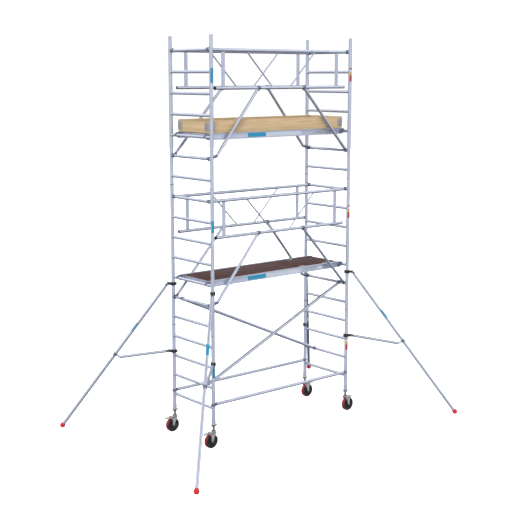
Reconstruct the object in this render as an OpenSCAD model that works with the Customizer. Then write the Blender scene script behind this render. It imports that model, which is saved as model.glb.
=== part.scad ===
/* [Tower] */
// Length between the two end frames, post axis to post axis
tower_l = 2500; // [2000:50:3000]
// Width between the two posts of an end frame, axis to axis
tower_w = 900; // [850:10:1350]
// Distance from one rung to the next
rung_pitch = 280; // [250:5:300]
// Height of the lowest rung's axis above the floor
first_rung_z = 550; // [530:5:640]
// Height of a frame's lowest rung above the bottom of its posts
rung_rise = 230; // [200:5:240]
// Length of the joint spigot that stands out of a post
spigot_out = 140; // [100:5:180]

/* [Tubes] */
// Outer diameter of the upright posts
post_d = 50.8; // [48:0.2:60]
// Wall of the upright posts
post_wall = 2; // [1.6:0.1:3]
// Outer diameter of the rungs
rung_d = 42; // [36:1:46]
// Outer diameter of the guard rails
rail_d = 45; // [38:1:48]
// Outer diameter of the horizontal and diagonal braces
brace_d = 45; // [38:1:48]
// Outer diameter of the thin diagonals inside a guard frame
spoke_d = 22; // [18:1:30]
// Wall of every tube but the posts
tube_wall = 1.8; // [1.5:0.1:2.5]

/* [Guard frames] */
// Distance of a guard frame's plane inside the post axes
guard_inset = 60; // [55:1:66]
// Drop from the top rail to the bottom rail
guard_drop = 490; // [420:1:540]
// Width of the flat uprights between the two rails
flat_w = 50; // [40:1:60]
// Thickness of the flat uprights
flat_t = 16; // [12:1:24]

/* [Platforms] */
// Width of a platform over its side beams
platform_w = 680; // [600:10:690]
// Depth of the side beams
beam_h = 86; // [70:1:90]
// Thickness of the side beams
beam_t = 32; // [25:1:40]
// Thickness of the plywood deck
deck_t = 12; // [9:1:15]
// Length of the hatch along the platform
hatch_l = 700; // [600:10:800]
// Height of the toe-boards
toe_h = 165; // [150:5:180]
// Thickness of the toe-boards
toe_t = 22; // [18:1:25]

/* [Castors] */
// Diameter of the wheel over its tyre
wheel_d = 200; // [150:5:200]
// Width of the tyre
wheel_w = 50; // [40:1:52]
// Distance of the axle behind the swivel axis
trail = 45; // [35:1:55]
// Diameter of the adjusting spindle
spindle_d = 35; // [30:0.5:38]
// Height of the posts' ends above the fork's swivel head
spindle_gap = 84; // [70:1:100]

/* [Stabilisers] */
// Reach of a stabiliser's foot from its post
leg_reach = 1635; // [1200:5:1700]
// Height of the upper clamp
clamp_top_z = 2130; // [2110:1:2150]
// Height of the lower clamp
clamp_low_z = 1165; // [1160:1:1330]
// Outer diameter of the long leg
leg_d = 45; // [38:1:50]
// Outer diameter of the strut
strut_d = 40; // [34:1:45]

/* [Hidden] */
$fn = 48;
weld = 0.3;      // seam left between two tubes of one welded frame
slip = 0.3;      // radial play of a claw or clamp on its tube
fit = 0.05;      // radial play of a shaft in its bearing
bolt_play = 0.02;  // what a bolt is thinner than its hole, in radius
plug_play = 0.2;   // radial play of a plug inside its tube
cut = 1;         // how far a cutting shape reaches past what it cuts
bottom_rungs = 4;
upper_rungs = 7;
lx = tower_l / 2;
ly = tower_w / 2;
post_r = post_d / 2;
rung_r = rung_d / 2;
rail_r = rail_d / 2;
brace_r = brace_d / 2;
spoke_r = spoke_d / 2;
post_z = first_rung_z - rung_rise;
top_over_rung = rung_pitch - rung_rise;
function rung_z(k) = first_rung_z + rung_pitch * (k - 1);
joint_z = [post_z, rung_z(bottom_rungs) + top_over_rung,
           rung_z(bottom_rungs + upper_rungs) + top_over_rung,
           rung_z(bottom_rungs + 2 * upper_rungs) + top_over_rung];
platform_rungs = [7, 14];
guard_rungs = [11, 18];
guard_foot_rungs = [6, 13];
spigot_r = post_r - post_wall - plug_play;
spigot_root_r = spigot_r - 0.3;   // the part of a spigot that stays in its own post
spigot_wall = 2.5;
spigot_in = 90;

// locking pin of a frame joint, with its spring clip
pin_r = 4;
pin_up = 112;        // above the joint
pin_proud = 5;       // beyond the clip's inner face at each end
clip_r = post_r + 1; // inner radius of the clip
clip_t = 4;
clip_h = 6;
clip_open = 0.8;     // half width of the clip's mouth, as a share of its radius

// claw that drops over a round tube
claw_wall = 8;
claw_w = 38;
neck_h = 30;
neck_w = 28;
tube_back = 48;  // from the axis of the gripped tube to the end of the tube that the claw carries
plug_l = 38;     // length of the plug inside the carried tube
plug_collar = 5; // width of the collar that meets the end of the carried tube
jaw_side = 0.8;  // far side of the open jaw, as a share of the gripped radius
jaw_top = 0.45;  // how far below the gripped axis the jaw opens, as a share of the gripped radius
catch_w = 16;
catch_end = 0.55;  // near end of the catch, as a share of the gripped radius

// guard frame, measured from the middle of the bay
guard_y = ly - guard_inset;
flat_left = -lx + 242;
flat_right = lx - 214;
spoke_top = lx - 625;
spoke_foot = 150;
leg_top_x = 410;
leg_knee_x = lx - 128;
knee_up = 32;
plug_x = lx - 110;     // left end of a bottom rail
low_right_x = lx - 60; // right end of a bottom rail
leg_r = rail_r - 2.5;
spoke_wall = 1.5;
knee_trim = 30;        // extra length that the mitre at a knee trims away

// braces
brace_z = rung_z(1) + 50;
diagonal_y = [-295, 230];

// platform
deck_up = 40;        // deck surface above the rung's axis
beam_up = 46;        // top of the side beams above the rung's axis
beam_end = 46;       // from the rung's axis to the end of a side beam
inner_w = platform_w - 2 * beam_t;
beam_wall = 2;
cross_w = 40;
cross_h = 40;
cross_end = lx - beam_end - cross_w / 2;
cross_left = [-cross_end, -700, -180];   // cross members away from the hatch
hatch_mid = 720;     // middle of the hatch, from the middle of the bay
hatch_x0 = hatch_mid - hatch_l / 2;
hatch_x1 = hatch_mid + hatch_l / 2;
hatch_gap = 3;
hinge_in = 120;      // from an end of the hatch to the middle of its hinge
hinge_places = [hatch_x0 + hinge_in, hatch_x1 - hinge_in];
hinge_r = 5;
hinge_wall = 4;
hinge_pin_l = 80;
knuckle_l = 50;
hinge_leaf_t = 4;
hinge_leaf_l = 60;
lug_w = 12;          // lugs that hold a hinge pin to the side beam
lug_h = 7;
lug_out = 34;        // from the middle of a hinge to its lugs
hinge_y = -inner_w / 2 + 10;
hinge_up = deck_t + hinge_r + 3;   // hinge axis above the underside of the deck
hatch_edge = 4;                    // from the hinge axis to the near edge of the hatch
bearer_gap = 0.6;                  // play between the deck and the cross members
hook_w = beam_t - 2 * beam_wall - 0.6;
hook_neck = 6;       // how much lower than the beam the neck of a hook is, above and below
hook_plug = 50;      // length of the hook's block inside the beam
hook_slack = 2.3;    // from the beam's face to the hook's block, above and below
hook_side = 0.9;     // far side of the hook's mouth, as a share of the rung's radius
hook_low = 4;        // how far below the rung's axis the mouth opens
wind_t = 6;          // thickness of the wind catch under the rung
wind_w = 10;

// toe-boards
toe_end_x = lx - 64; // inner face of an end board
toe_y = platform_w / 2 - toe_t;
corner_t = 3;        // sheet of the corner clips
corner_l = 90;
corner_up = 30;
corner_h = toe_h - 50;

// castor
swivel_z = post_z - spindle_gap;
crown_t = 8;
crown_in = 14;       // from the brake's pin to the crown's near edge
head_h = 16;
crown_z = swivel_z - head_h - crown_t;
fork_in = wheel_w / 2 + 5;
cheek_t = 5;
axle_r = 6;
axle_z = wheel_d / 2;
tyre_t = 20;
hub_r = wheel_d / 2 - tyre_t;
tyre_play = 0.1;
boss_r = 20;         // boss of the wheel round its axle
web_r = 44;
web_in = 9;          // how deep the web lies in the rim
rim_w = 14;
spindle_r = spindle_d / 2;
spindle_in = 380;    // length of the spindle inside its post
flange_r = 27;       // flange of the spindle on the swivel head
flange_t = 8;
head_r = 31;
kingpin_head = 3;    // what the kingpin's head is wider, in radius
nut_h = 22;
collar_r = post_r + slip + 4.3;
collar_h = 70;
wing_reach = 66;
kingpin_r = 8;
kingpin_out = 9;     // how far the kingpin's head hangs below the crown
wing_w = 10;
bolt_head_t = 8;     // head and nut of the axle bolt
bolt_head_r = 10;
brake_pin_r = 4;
brake_hub_r = 8;
brake_play = 1;      // from the pedal to each cheek
brake_x = trail + 38;
brake_z = crown_z - 6;
brake_reach = 92;

// stabiliser
foot_r = 38;
clamp_h = 44;
clamp_wall = 10;
ear_t = 7;
tongue_t = 18;
pivot_r = 80;        // from the post axis to the pivot of a leg or strut
pivot_bolt_r = 5;
pivot_head_r = 9;
pivot_head_t = 6;
ear_play = 0.5;      // from a tongue to each ear of its clamp
ear_out = 14;        // from the pivot to the end of the ears
lug_back = 22;       // lugs at the back of a clamp, which its bolt pulls together
clamp_lug_w = 18;
clamp_slot = 3;
clamp_bolt_r = 4;
clamp_bolt_l = 44;
clamp_bolt_x = 16;   // from the clamp's bore to its bolt
wing_nut_l = 44;
tongue_w = 26;
tongue_l = 30;
leg_start = 32;      // from the pivot to the end of the tube
foot_z = 30;         // height of the end of the leg
saddle_r = 15;
bend_plug = 34;      // length of the bent end's plug in the strut
strut_meet = 0.49;   // where the strut meets the leg, as a share of its length from the pivot
elbow_back = [-72, -42];

CORNERS = [["front_left", -1, -1], ["back_left", -1, 1],
           ["front_right", 1, -1], ["back_right", 1, 1]];
CASTOR_PARTS = ["spindle", "nut", "fork", "wheel", "tyre", "brake"];
STAY_PARTS = ["clamps", "tubes", "foot"];
FRAME_LEVELS = ["bottom", "middle", "top"];

ALU = [0.74, 0.77, 0.83];
DARK = [0.25, 0.27, 0.33];
ZINC = [0.72, 0.72, 0.68];
BLACK = [0.1, 0.1, 0.11];
WOOD = [0.8, 0.68, 0.48];
PLY = [0.34, 0.22, 0.2];
RED = [0.62, 0.13, 0.17];

// ---------------------------------------------------------------- tubes

// Turns +Z into the direction from a to b, at a
module along(a, b) {
    d = b - a;
    translate(a) rotate([0, acos(d[2] / norm(d)), atan2(d[1], d[0])]) children();
}

module rod(a, b, r) {
    along(a, b) cylinder(h = norm(b - a), r = r);
}

module tube(a, b, r, wall) {
    along(a, b) difference() {
        cylinder(h = norm(b - a), r = r);
        translate([0, 0, -cut]) cylinder(h = norm(b - a) + 2 * cut, r = r - wall);
    }
}

// ---------------------------------------------------------------- end frames

module post(x, y, level) {
    z0 = joint_z[level];
    z1 = joint_z[level + 1];
    difference() {
        translate([x, y, z0]) cylinder(h = z1 - z0 - (level < 2 ? weld : 0), r = post_r);
        translate([x, y, z0 - cut]) cylinder(h = z1 - z0 + 2 * cut, r = post_r - post_wall);
        if (level > 0) pin_hole(x, y, z0);
    }
}

module spigot(x, y, level) {
    z1 = joint_z[level + 1];
    difference() {
        union() {
            translate([x, y, z1 - spigot_in]) cylinder(h = spigot_in, r = spigot_root_r);
            translate([x, y, z1]) cylinder(h = spigot_out, r = spigot_r);
        }
        translate([x, y, z1 - spigot_in - cut])
            cylinder(h = spigot_in + spigot_out + 2 * cut, r = spigot_r - spigot_wall);
        pin_hole(x, y, z1);
    }
}

module pin_hole(x, y, z) {
    translate([x, y, z + pin_up]) rotate([0, 90, 0]) cylinder(h = 4 * post_r, r = pin_r + fit, center = true);
}

module rung(x, z) {
    difference() {
        tube([x, -ly, z], [x, ly, z], rung_r, tube_wall);
        for (s = [-1, 1]) translate([x, s * ly, z]) cylinder(h = post_d, r = post_r + weld, center = true);
    }
}

module end_frame(x, level) {
    first = level == 0 ? 1 : bottom_rungs + 1 + (level - 1) * upper_rungs;
    count = level == 0 ? bottom_rungs : upper_rungs;
    color(ALU) {
        for (s = [-1, 1]) {
            post(x, s * ly, level);
            spigot(x, s * ly, level);
        }
        for (k = [first : first + count - 1]) rung(x, rung_z(k));
    }
}

// A pin through post and spigot, with the spring clip that holds it round the outside
module locking_pin(x, y, z) {
    mouth = 2 * clip_open * clip_r;
    color(DARK) translate([x, y, z + pin_up]) {
        rotate([0, 90, 0]) cylinder(h = 2 * (clip_r + pin_proud), r = pin_r, center = true);
        difference() {
            cylinder(h = clip_h, r = clip_r + clip_t, center = true);
            cylinder(h = clip_h + 2 * cut, r = clip_r, center = true);
            translate([-mouth / 2, y > 0 ? 0 : -2 * post_d, -clip_h]) cube([mouth, 2 * post_d, 2 * clip_h]);
        }
    }
}

module frame_locking_pins() {
    for (x = [-lx, lx]) for (y = [-ly, ly]) for (level = [1, 2]) locking_pin(x, y, joint_z[level]);
}

// ---------------------------------------------------------------- claws

// Grips a tube of radius r whose axis is Y; the tube that it carries leaves along +X.
// The jaw is open below, where the sprung catch closes it.
module claw(r, carried_r) {
    ring = r + slip;
    outer = ring + claw_wall;
    color(DARK) {
        difference() {
            union() {
                rotate([90, 0, 0]) cylinder(h = claw_w, r = outer, center = true);
                translate([0, -neck_w / 2, -neck_h / 2]) cube([tube_back - plug_collar / 2, neck_w, neck_h]);
                rotate([0, 90, 0]) {
                    translate([0, 0, tube_back - plug_collar - weld])
                        cylinder(h = plug_collar, r = carried_r);
                    translate([0, 0, tube_back - cut])
                        cylinder(h = plug_l, r = carried_r - tube_wall - plug_play);
                }
            }
            rotate([90, 0, 0]) cylinder(h = claw_w + 2 * cut, r = ring, center = true);
            translate([-outer - cut, -claw_w, -outer - cut])
                cube([outer + cut + r * jaw_side, 2 * claw_w, outer + cut - r * jaw_top]);
        }
        // the catch
        difference() {
            rotate([90, 0, 0]) cylinder(h = catch_w, r = outer - 1, center = true);
            rotate([90, 0, 0]) cylinder(h = catch_w + 2 * cut, r = ring, center = true);
            translate([-outer, -catch_w, -r * jaw_top - 1]) cube([2 * outer, 2 * catch_w, 2 * outer]);
            translate([r * jaw_side - 1, -catch_w, -2 * outer]) cube([2 * outer, 2 * catch_w, 2 * outer]);
            translate([-2 * outer - r * catch_end, -catch_w, -2 * outer])
                cube([2 * outer, 2 * catch_w, 2 * outer]);
        }
    }
}

// ---------------------------------------------------------------- guard frames

module flat_upright(x, low, high) {
    difference() {
        translate([x - flat_w / 2, -flat_t / 2, low]) cube([flat_w, flat_t, high - low]);
        for (z = [low, high]) rod([-lx, 0, z], [lx, 0, z], rail_r + weld);
    }
}

module spoke(s, low, high) {
    difference() {
        tube([s * spoke_top, 0, high], [s * spoke_foot, 0, low], spoke_r, spoke_wall);
        for (z = [low, high]) rod([-lx, 0, z], [lx, 0, z], rail_r + weld);
    }
}

function guard_foot(level) = [lx, 0, rung_z(guard_foot_rungs[level])];
function guard_knee(level) = guard_foot(level) + [leg_knee_x - lx, 0, knee_up];

// Takes away all that lies beyond the plane through at, square to the direction u
module beyond(at, u) {
    size = 8 * rail_r;
    along(at, at + u) translate([-size / 2, -size / 2, 0]) cube([size, size, 2 * size]);
}

function leg_way(low, level) = let (d = guard_knee(level) - [leg_top_x, 0, low]) d / norm(d);
function stub_way(level) = let (d = guard_foot(level) - guard_knee(level)) d / norm(d);
function mitre_way(low, level) = let (d = leg_way(low, level) + stub_way(level)) d / norm(d);

function straight_way(low, level) = let (d = guard_foot(level) - [leg_top_x, 0, low]) d / norm(d);

// Leg that hangs from the bottom rail and runs straight to its claw
module straight_leg(low, level) {
    way = straight_way(low, level);
    difference() {
        tube([leg_top_x, 0, low], guard_foot(level) - way * tube_back, leg_r, tube_wall);
        rod([-lx, 0, low], [lx, 0, low], rail_r + weld);
    }
}

// Leg that hangs from the bottom rail, mitred at the knee above the rung that it reaches for
module knee_leg(low, level) {
    knee = guard_knee(level);
    down = leg_way(low, level);
    mitre = mitre_way(low, level);
    difference() {
        tube([leg_top_x, 0, low], knee + down * knee_trim, leg_r, tube_wall);
        rod([-lx, 0, low], [lx, 0, low], rail_r + weld);
        beyond(knee - mitre * weld / 2, mitre);
    }
}

// Short tube from a leg's knee to its claw
module knee_stub(low, level) {
    knee = guard_knee(level);
    out = stub_way(level);
    mitre = mitre_way(low, level);
    color(DARK) difference() {
        tube(knee - out * knee_trim, guard_foot(level) - out * tube_back, leg_r, tube_wall);
        beyond(knee + mitre * weld / 2, -mitre);
    }
}

module guard_frame(level) {
    high = rung_z(guard_rungs[level]);
    low = high - guard_drop;
    color(ALU) {
        tube([-lx + tube_back, 0, high], [lx - tube_back, 0, high], rail_r, tube_wall);
        tube([-plug_x, 0, low], [low_right_x, 0, low], rail_r, tube_wall);
        for (x = [flat_left, flat_right]) flat_upright(x, low, high);
        for (s = [-1, 1]) spoke(s, low, high);
        scale([-1, 1, 1]) knee_leg(low, level);
        straight_leg(low, level);
    }
}

// The back guard frame is the front one turned half a turn about the tower's middle
module guard_place(side) {
    rotate(side == "front" ? 0 : 180) translate([0, -guard_y, 0]) children();
}

module guard_claws() {
    for (side = ["front", "back"]) guard_place(side) for (level = [0, 1]) for (s = [-1, 1]) {
        high = rung_z(guard_rungs[level]);
        foot = guard_foot(level);
        lean = s < 0 ? atan2(knee_up, lx - leg_knee_x) : atan2(high - guard_drop - foot[2], lx - leg_top_x);
        translate([s * lx, 0, high]) rotate(s < 0 ? 0 : 180) claw(rung_r, rail_r);
        translate([s * lx, 0, foot[2]]) rotate(s < 0 ? 0 : 180) rotate([0, -lean, 0]) claw(rung_r, leg_r);
        if (s < 0) scale([s, 1, 1]) knee_stub(high - guard_drop, level);
    }
}

// ---------------------------------------------------------------- braces

function brace_ends(i) = i == 0
    ? [[-lx, diagonal_y[0], rung_z(2)], [lx, diagonal_y[0], rung_z(6)]]
    : [[-lx, diagonal_y[1], rung_z(6)], [lx, diagonal_y[1], rung_z(2)]];

module braces_horizontal() {
    color(ALU) for (y = [-ly, ly])
        tube([-lx + tube_back, y, brace_z], [lx - tube_back, y, brace_z], brace_r, tube_wall);
}

module braces_diagonal() {
    color(ALU) for (i = [0, 1]) {
        e = brace_ends(i);
        u = (e[1] - e[0]) / norm(e[1] - e[0]);
        tube(e[0] + u * tube_back, e[1] - u * tube_back, brace_r, tube_wall);
    }
}

module brace_claws() {
    for (x = [-1, 1]) for (y = [-ly, ly])
        translate([x * lx, y, brace_z]) rotate(x < 0 ? 0 : 180) rotate([90, 0, 0]) claw(post_r, brace_r);
    for (i = [0, 1]) {
        e = brace_ends(i);
        rise = atan2(e[1][2] - e[0][2], 2 * lx);
        translate(e[0]) rotate([0, -rise, 0]) claw(rung_r, brace_r);
        translate(e[1]) rotate([0, -rise, 0]) rotate([0, 180, 0]) mirror([0, 0, 1]) claw(rung_r, brace_r);
    }
}

// ---------------------------------------------------------------- platforms

module beam(s, z) {
    x = lx - beam_end;
    difference() {
        translate([-x, s > 0 ? inner_w / 2 : -platform_w / 2, z + beam_up - beam_h])
            cube([2 * x, beam_t, beam_h]);
        translate([-x - cut, s * (platform_w - beam_t) / 2 - beam_t / 2 + beam_wall,
                   z + beam_up - beam_h + beam_wall])
            cube([2 * (x + cut), beam_t - 2 * beam_wall, beam_h - 2 * beam_wall]);
    }
}

module cross(x, z) {
    top = z + deck_up - deck_t - bearer_gap;
    difference() {
        translate([x - cross_w / 2, -inner_w / 2 + weld, top - cross_h])
            cube([cross_w, inner_w - 2 * weld, cross_h]);
        translate([x - cross_w / 2 + beam_wall, -inner_w / 2, top - cross_h + beam_wall])
            cube([cross_w - 2 * beam_wall, inner_w, cross_h - 2 * beam_wall]);
    }
}

module platform_frame(level) {
    z = rung_z(platform_rungs[level]);
    color(ALU) {
        for (s = [-1, 1]) beam(s, z);
        for (x = cross_left) cross(x, z);
        for (x = [hatch_x0 - hatch_gap / 2, hatch_x1 + hatch_gap / 2, cross_end]) cross(x, z);
    }
}

module platform_deck(level) {
    z = rung_z(platform_rungs[level]) + deck_up - deck_t;
    x = lx - beam_end;
    w = inner_w - 2 * weld;
    color(PLY) {
        translate([-x, -w / 2, z]) cube([hatch_x0 - hatch_gap + x, w, deck_t]);
        translate([hatch_x1 + hatch_gap, -w / 2, z]) cube([x - hatch_x1 - hatch_gap, w, deck_t]);
    }
    // hinge pins of the hatch, with the leaves that hold them to the side beam
    leaf_z = z + deck_t + beam_up - deck_up + weld;
    leaf_y = -platform_w / 2 + toe_t + 2 * weld;
    color(ZINC) for (px = hinge_places) {
        translate([px, hinge_y, z + hinge_up]) rotate([0, 90, 0])
            cylinder(h = hinge_pin_l, r = hinge_r, center = true);
        for (s = [-1, 1]) translate([px + s * lug_out - lug_w / 2, leaf_y, leaf_z])
            cube([lug_w, hinge_y - leaf_y, lug_h]);
    }
}

module platform_hatch(level) {
    z = rung_z(platform_rungs[level]) + deck_up - deck_t;
    color(PLY) translate([hatch_x0, hinge_y - hatch_edge, z])
        cube([hatch_l, inner_w / 2 - hatch_gap - hinge_y + hatch_edge, deck_t]);
    color(ZINC) for (px = hinge_places) difference() {
        union() {
            translate([px, hinge_y, z + hinge_up]) rotate([0, 90, 0])
                cylinder(h = knuckle_l, r = hinge_r + hinge_wall, center = true);
            translate([px - knuckle_l / 2, hinge_y, z + deck_t])
                cube([knuckle_l, hinge_leaf_l, hinge_leaf_t]);
        }
        translate([px, hinge_y, z + hinge_up]) rotate([0, 90, 0])
            cylinder(h = knuckle_l + 2 * cut, r = hinge_r + fit, center = true);
        translate([px - knuckle_l / 2 - cut, hinge_y - hinge_leaf_l, z])
            cube([knuckle_l + 2 * cut, 3 * hinge_leaf_l, deck_t + weld]);
    }
}

module platform_hooks() {
    for (level = [0, 1]) for (x = [-1, 1]) for (y = [-1, 1])
        translate([x * lx, y * (platform_w / 2 - beam_t / 2), rung_z(platform_rungs[level])])
            rotate(x < 0 ? 0 : 180) platform_hook();
}

// Cast hook that fills the end of a side beam and rests on the rung
module platform_hook() {
    ring = rung_r + slip;
    w = hook_w;
    bottom = beam_up - beam_h;
    mouth = 3 * rung_r;
    color(DARK) {
        difference() {
            union() {
                rotate([90, 0, 0]) cylinder(h = w, r = ring + claw_wall, center = true);
                translate([0, -w / 2, bottom + hook_neck]) cube([beam_end - weld, w, beam_h - 2 * hook_neck]);
                translate([beam_end - 2, -w / 2, bottom + hook_slack])
                    cube([hook_plug, w, beam_h - 2 * hook_slack]);
            }
            rotate([90, 0, 0]) cylinder(h = w + 2 * cut, r = ring, center = true);
            translate([-mouth, -w, -mouth]) cube([mouth + rung_r * hook_side, 2 * w, mouth - hook_low]);
        }
        // wind catch under the rung
        translate([rung_r * 0.2, -wind_w / 2, -ring - wind_t - 1])
            cube([beam_end - rung_r * 0.2 - rung_r - weld, wind_w, wind_t]);
    }
}

// ---------------------------------------------------------------- toe-boards

module toe_boards() {
    z = rung_z(platform_rungs[1]) + beam_up;
    color(WOOD) {
        for (s = [-1, 1]) {
            translate([-toe_end_x - toe_t - weld, s > 0 ? toe_y : -toe_y - toe_t, z + weld])
                cube([2 * (toe_end_x + toe_t + weld), toe_t, toe_h]);
            translate([s > 0 ? toe_end_x : -toe_end_x - toe_t, -toe_y + weld, z + weld])
                cube([toe_t, 2 * toe_y - 2 * weld, toe_h]);
        }
    }
}

module toe_board_clips() {
    z = rung_z(platform_rungs[1]) + beam_up;
    color(ZINC) for (sx = [-1, 1]) for (sy = [-1, 1]) scale([sx, sy, 1])
        translate([toe_end_x + toe_t + 2 * weld, platform_w / 2 + weld, z + corner_up]) {
            translate([0, -corner_l, 0]) cube([corner_t, corner_l, corner_h]);
            translate([-corner_l, 0, 0]) cube([corner_l + corner_t, corner_t, corner_h]);
        }
}

// ---------------------------------------------------------------- castors

// Each part is drawn with the swivel axis on Z and the wheel trailing towards -X

module castor_spindle() {
    color(DARK) {
        translate([0, 0, swivel_z + flange_t])
            cylinder(h = post_z + spindle_in - swivel_z - flange_t, r = spindle_r);
        translate([0, 0, swivel_z + weld]) cylinder(h = flange_t - 2 * weld, r = flange_r);
        translate([0, 0, crown_z - kingpin_out]) {
            cylinder(h = swivel_z + 2 - crown_z + kingpin_out, r = kingpin_r);
            cylinder(h = kingpin_out - 0.5, r = kingpin_r + kingpin_head);
        }
    }
}

module castor_nut() {
    z0 = post_z - nut_h - weld;
    color(ZINC) difference() {
        union() {
            translate([0, 0, z0]) cylinder(h = nut_h, r = collar_r + 1);
            translate([0, 0, z0]) cylinder(h = nut_h + collar_h, r = collar_r);
            for (a = [0, 180]) rotate(a) wing();
        }
        translate([0, 0, z0 - cut]) cylinder(h = nut_h + 2 * cut, r = spindle_r + fit);
        translate([0, 0, post_z - weld]) cylinder(h = collar_h + 2 * cut, r = post_r + slip);
    }
}

module wing() {
    z0 = post_z - nut_h - weld;
    translate([0, wing_w / 2, z0]) rotate([90, 0, 0]) linear_extrude(wing_w)
        polygon([[20, 2], [40, 2], [wing_reach - 4, 10], [wing_reach, 18], [wing_reach - 2, 24],
                 [wing_reach - 9, 24], [44, 14], [20, 16]]);
}

module cheek() {
    rotate([90, 0, 0]) linear_extrude(cheek_t)
        difference() {
            polygon([[-26, crown_z + crown_t], [26, crown_z + crown_t], [26, crown_z - 14],
                     [-trail + 20, axle_z - 6], [-trail + 12, axle_z - 20], [-trail - 12, axle_z - 20],
                     [-trail - 20, axle_z], [-brake_x - 10, brake_z - 10], [-brake_x - 10, crown_z + 6],
                     [-brake_x + 8, crown_z + crown_t]]);
            translate([-trail, axle_z]) circle(r = axle_r);
            translate([-brake_x, brake_z]) circle(r = brake_pin_r);
        }
}

module castor_fork() {
    color(ZINC) {
        difference() {
            union() {
                translate([-brake_x + crown_in, -fork_in - cheek_t, crown_z])
                    cube([brake_x + crown_in, 2 * (fork_in + cheek_t), crown_t]);
                translate([0, 0, crown_z]) cylinder(h = crown_t + head_h, r = head_r);
                translate([0, fork_in + cheek_t, 0]) cheek();
                translate([0, -fork_in, 0]) cheek();
            }
            translate([0, 0, crown_z - cut]) cylinder(h = crown_t + head_h + 2 * cut, r = kingpin_r + fit);
        }
        // axle bolt with its head and nut
        translate([-trail, 0, axle_z]) rotate([90, 0, 0]) {
            cylinder(h = 2 * (fork_in + cheek_t) + 2 * weld, r = axle_r - bolt_play, center = true);
            for (s = [-1, 1]) translate([0, 0, s * (fork_in + cheek_t + weld + bolt_head_t / 2)])
                cylinder(h = bolt_head_t, r = bolt_head_r, $fn = 6, center = true);
        }
    }
}

// Half of a wheel's outline from its bore to its rim, on the side s of the middle
function core_side(s) = let (out = fork_in - 0.6, rim = wheel_w / 2 - 2, web = wheel_w / 2 - web_in)
    [[axle_r + fit, s * out], [boss_r, s * out], [boss_r + 4, s * (rim - 2)], [web_r, s * web],
     [hub_r - rim_w, s * web], [hub_r - rim_w / 2, s * rim], [hub_r, s * rim]];

function tyre_side(s) = let (r = wheel_d / 2, w = wheel_w / 2)
    [[hub_r + tyre_play, s * (w - 2)], [hub_r + 8, s * w], [r - 8, s * w],
     [r - 2.5, s * (w - 5)], [r, s * (w - 12)]];

function backwards(v) = [for (i = [len(v) - 1 : -1 : 0]) v[i]];

module castor_wheel() {
    color(BLACK) translate([-trail, 0, axle_z]) rotate([90, 0, 0]) rotate_extrude()
        polygon(concat(core_side(-1), backwards(core_side(1))));
}

module castor_tyre() {
    color(RED) translate([-trail, 0, axle_z]) rotate([90, 0, 0]) rotate_extrude()
        polygon(concat(tyre_side(-1), backwards(tyre_side(1))));
}

module castor_brake() {
    half = fork_in - brake_play;
    color(ZINC) difference() {
        union() {
            translate([-brake_x, 0, brake_z]) rotate([90, 0, 0])
                cylinder(h = 2 * half, r = brake_hub_r, center = true);
            translate([-brake_x, half, brake_z]) rotate([90, 0, 0]) linear_extrude(2 * half)
                polygon([[0, 3], [-brake_reach * 0.45, 5], [-brake_reach * 0.8, -4], [-brake_reach, -3],
                         [-brake_reach, 1], [-brake_reach * 0.8, 2], [-brake_reach * 0.45, 10], [0, 8]]);
        }
        translate([-brake_x, 0, brake_z]) rotate([90, 0, 0])
            cylinder(h = 2 * (half + cut), r = brake_pin_r + fit, center = true);
    }
}

module castor_brake_pin() {
    color(ZINC) translate([-brake_x, 0, brake_z]) rotate([90, 0, 0])
        cylinder(h = 2 * (fork_in + cheek_t + 2), r = brake_pin_r - bolt_play, center = true);
}

module castor_place(c) {
    translate([c[1] * lx, c[2] * ly, 0]) rotate(c[1] < 0 ? 0 : 180) children();
}

module castor(c, part) {
    castor_place(c) {
        if (part == "spindle") castor_spindle();
        if (part == "nut") castor_nut();
        if (part == "fork") {
            castor_fork();
            castor_brake_pin();
        }
        if (part == "wheel") castor_wheel();
        if (part == "tyre") castor_tyre();
        if (part == "brake") castor_brake();
    }
}

// ---------------------------------------------------------------- stabilisers

// Drawn with the post on Z and the leg leaning out towards +X

leg_top = [pivot_r, 0, clamp_top_z];
leg_end = [leg_reach, 0, foot_z];
leg_u = (leg_end - leg_top) / norm(leg_end - leg_top);
strut_top = leg_top + (leg_end - leg_top) * strut_meet;
elbow = strut_top + [elbow_back[0], 0, elbow_back[1]];
strut_root = [pivot_r, 0, clamp_low_z];
strut_u = (elbow - strut_root) / norm(elbow - strut_root);

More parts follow.
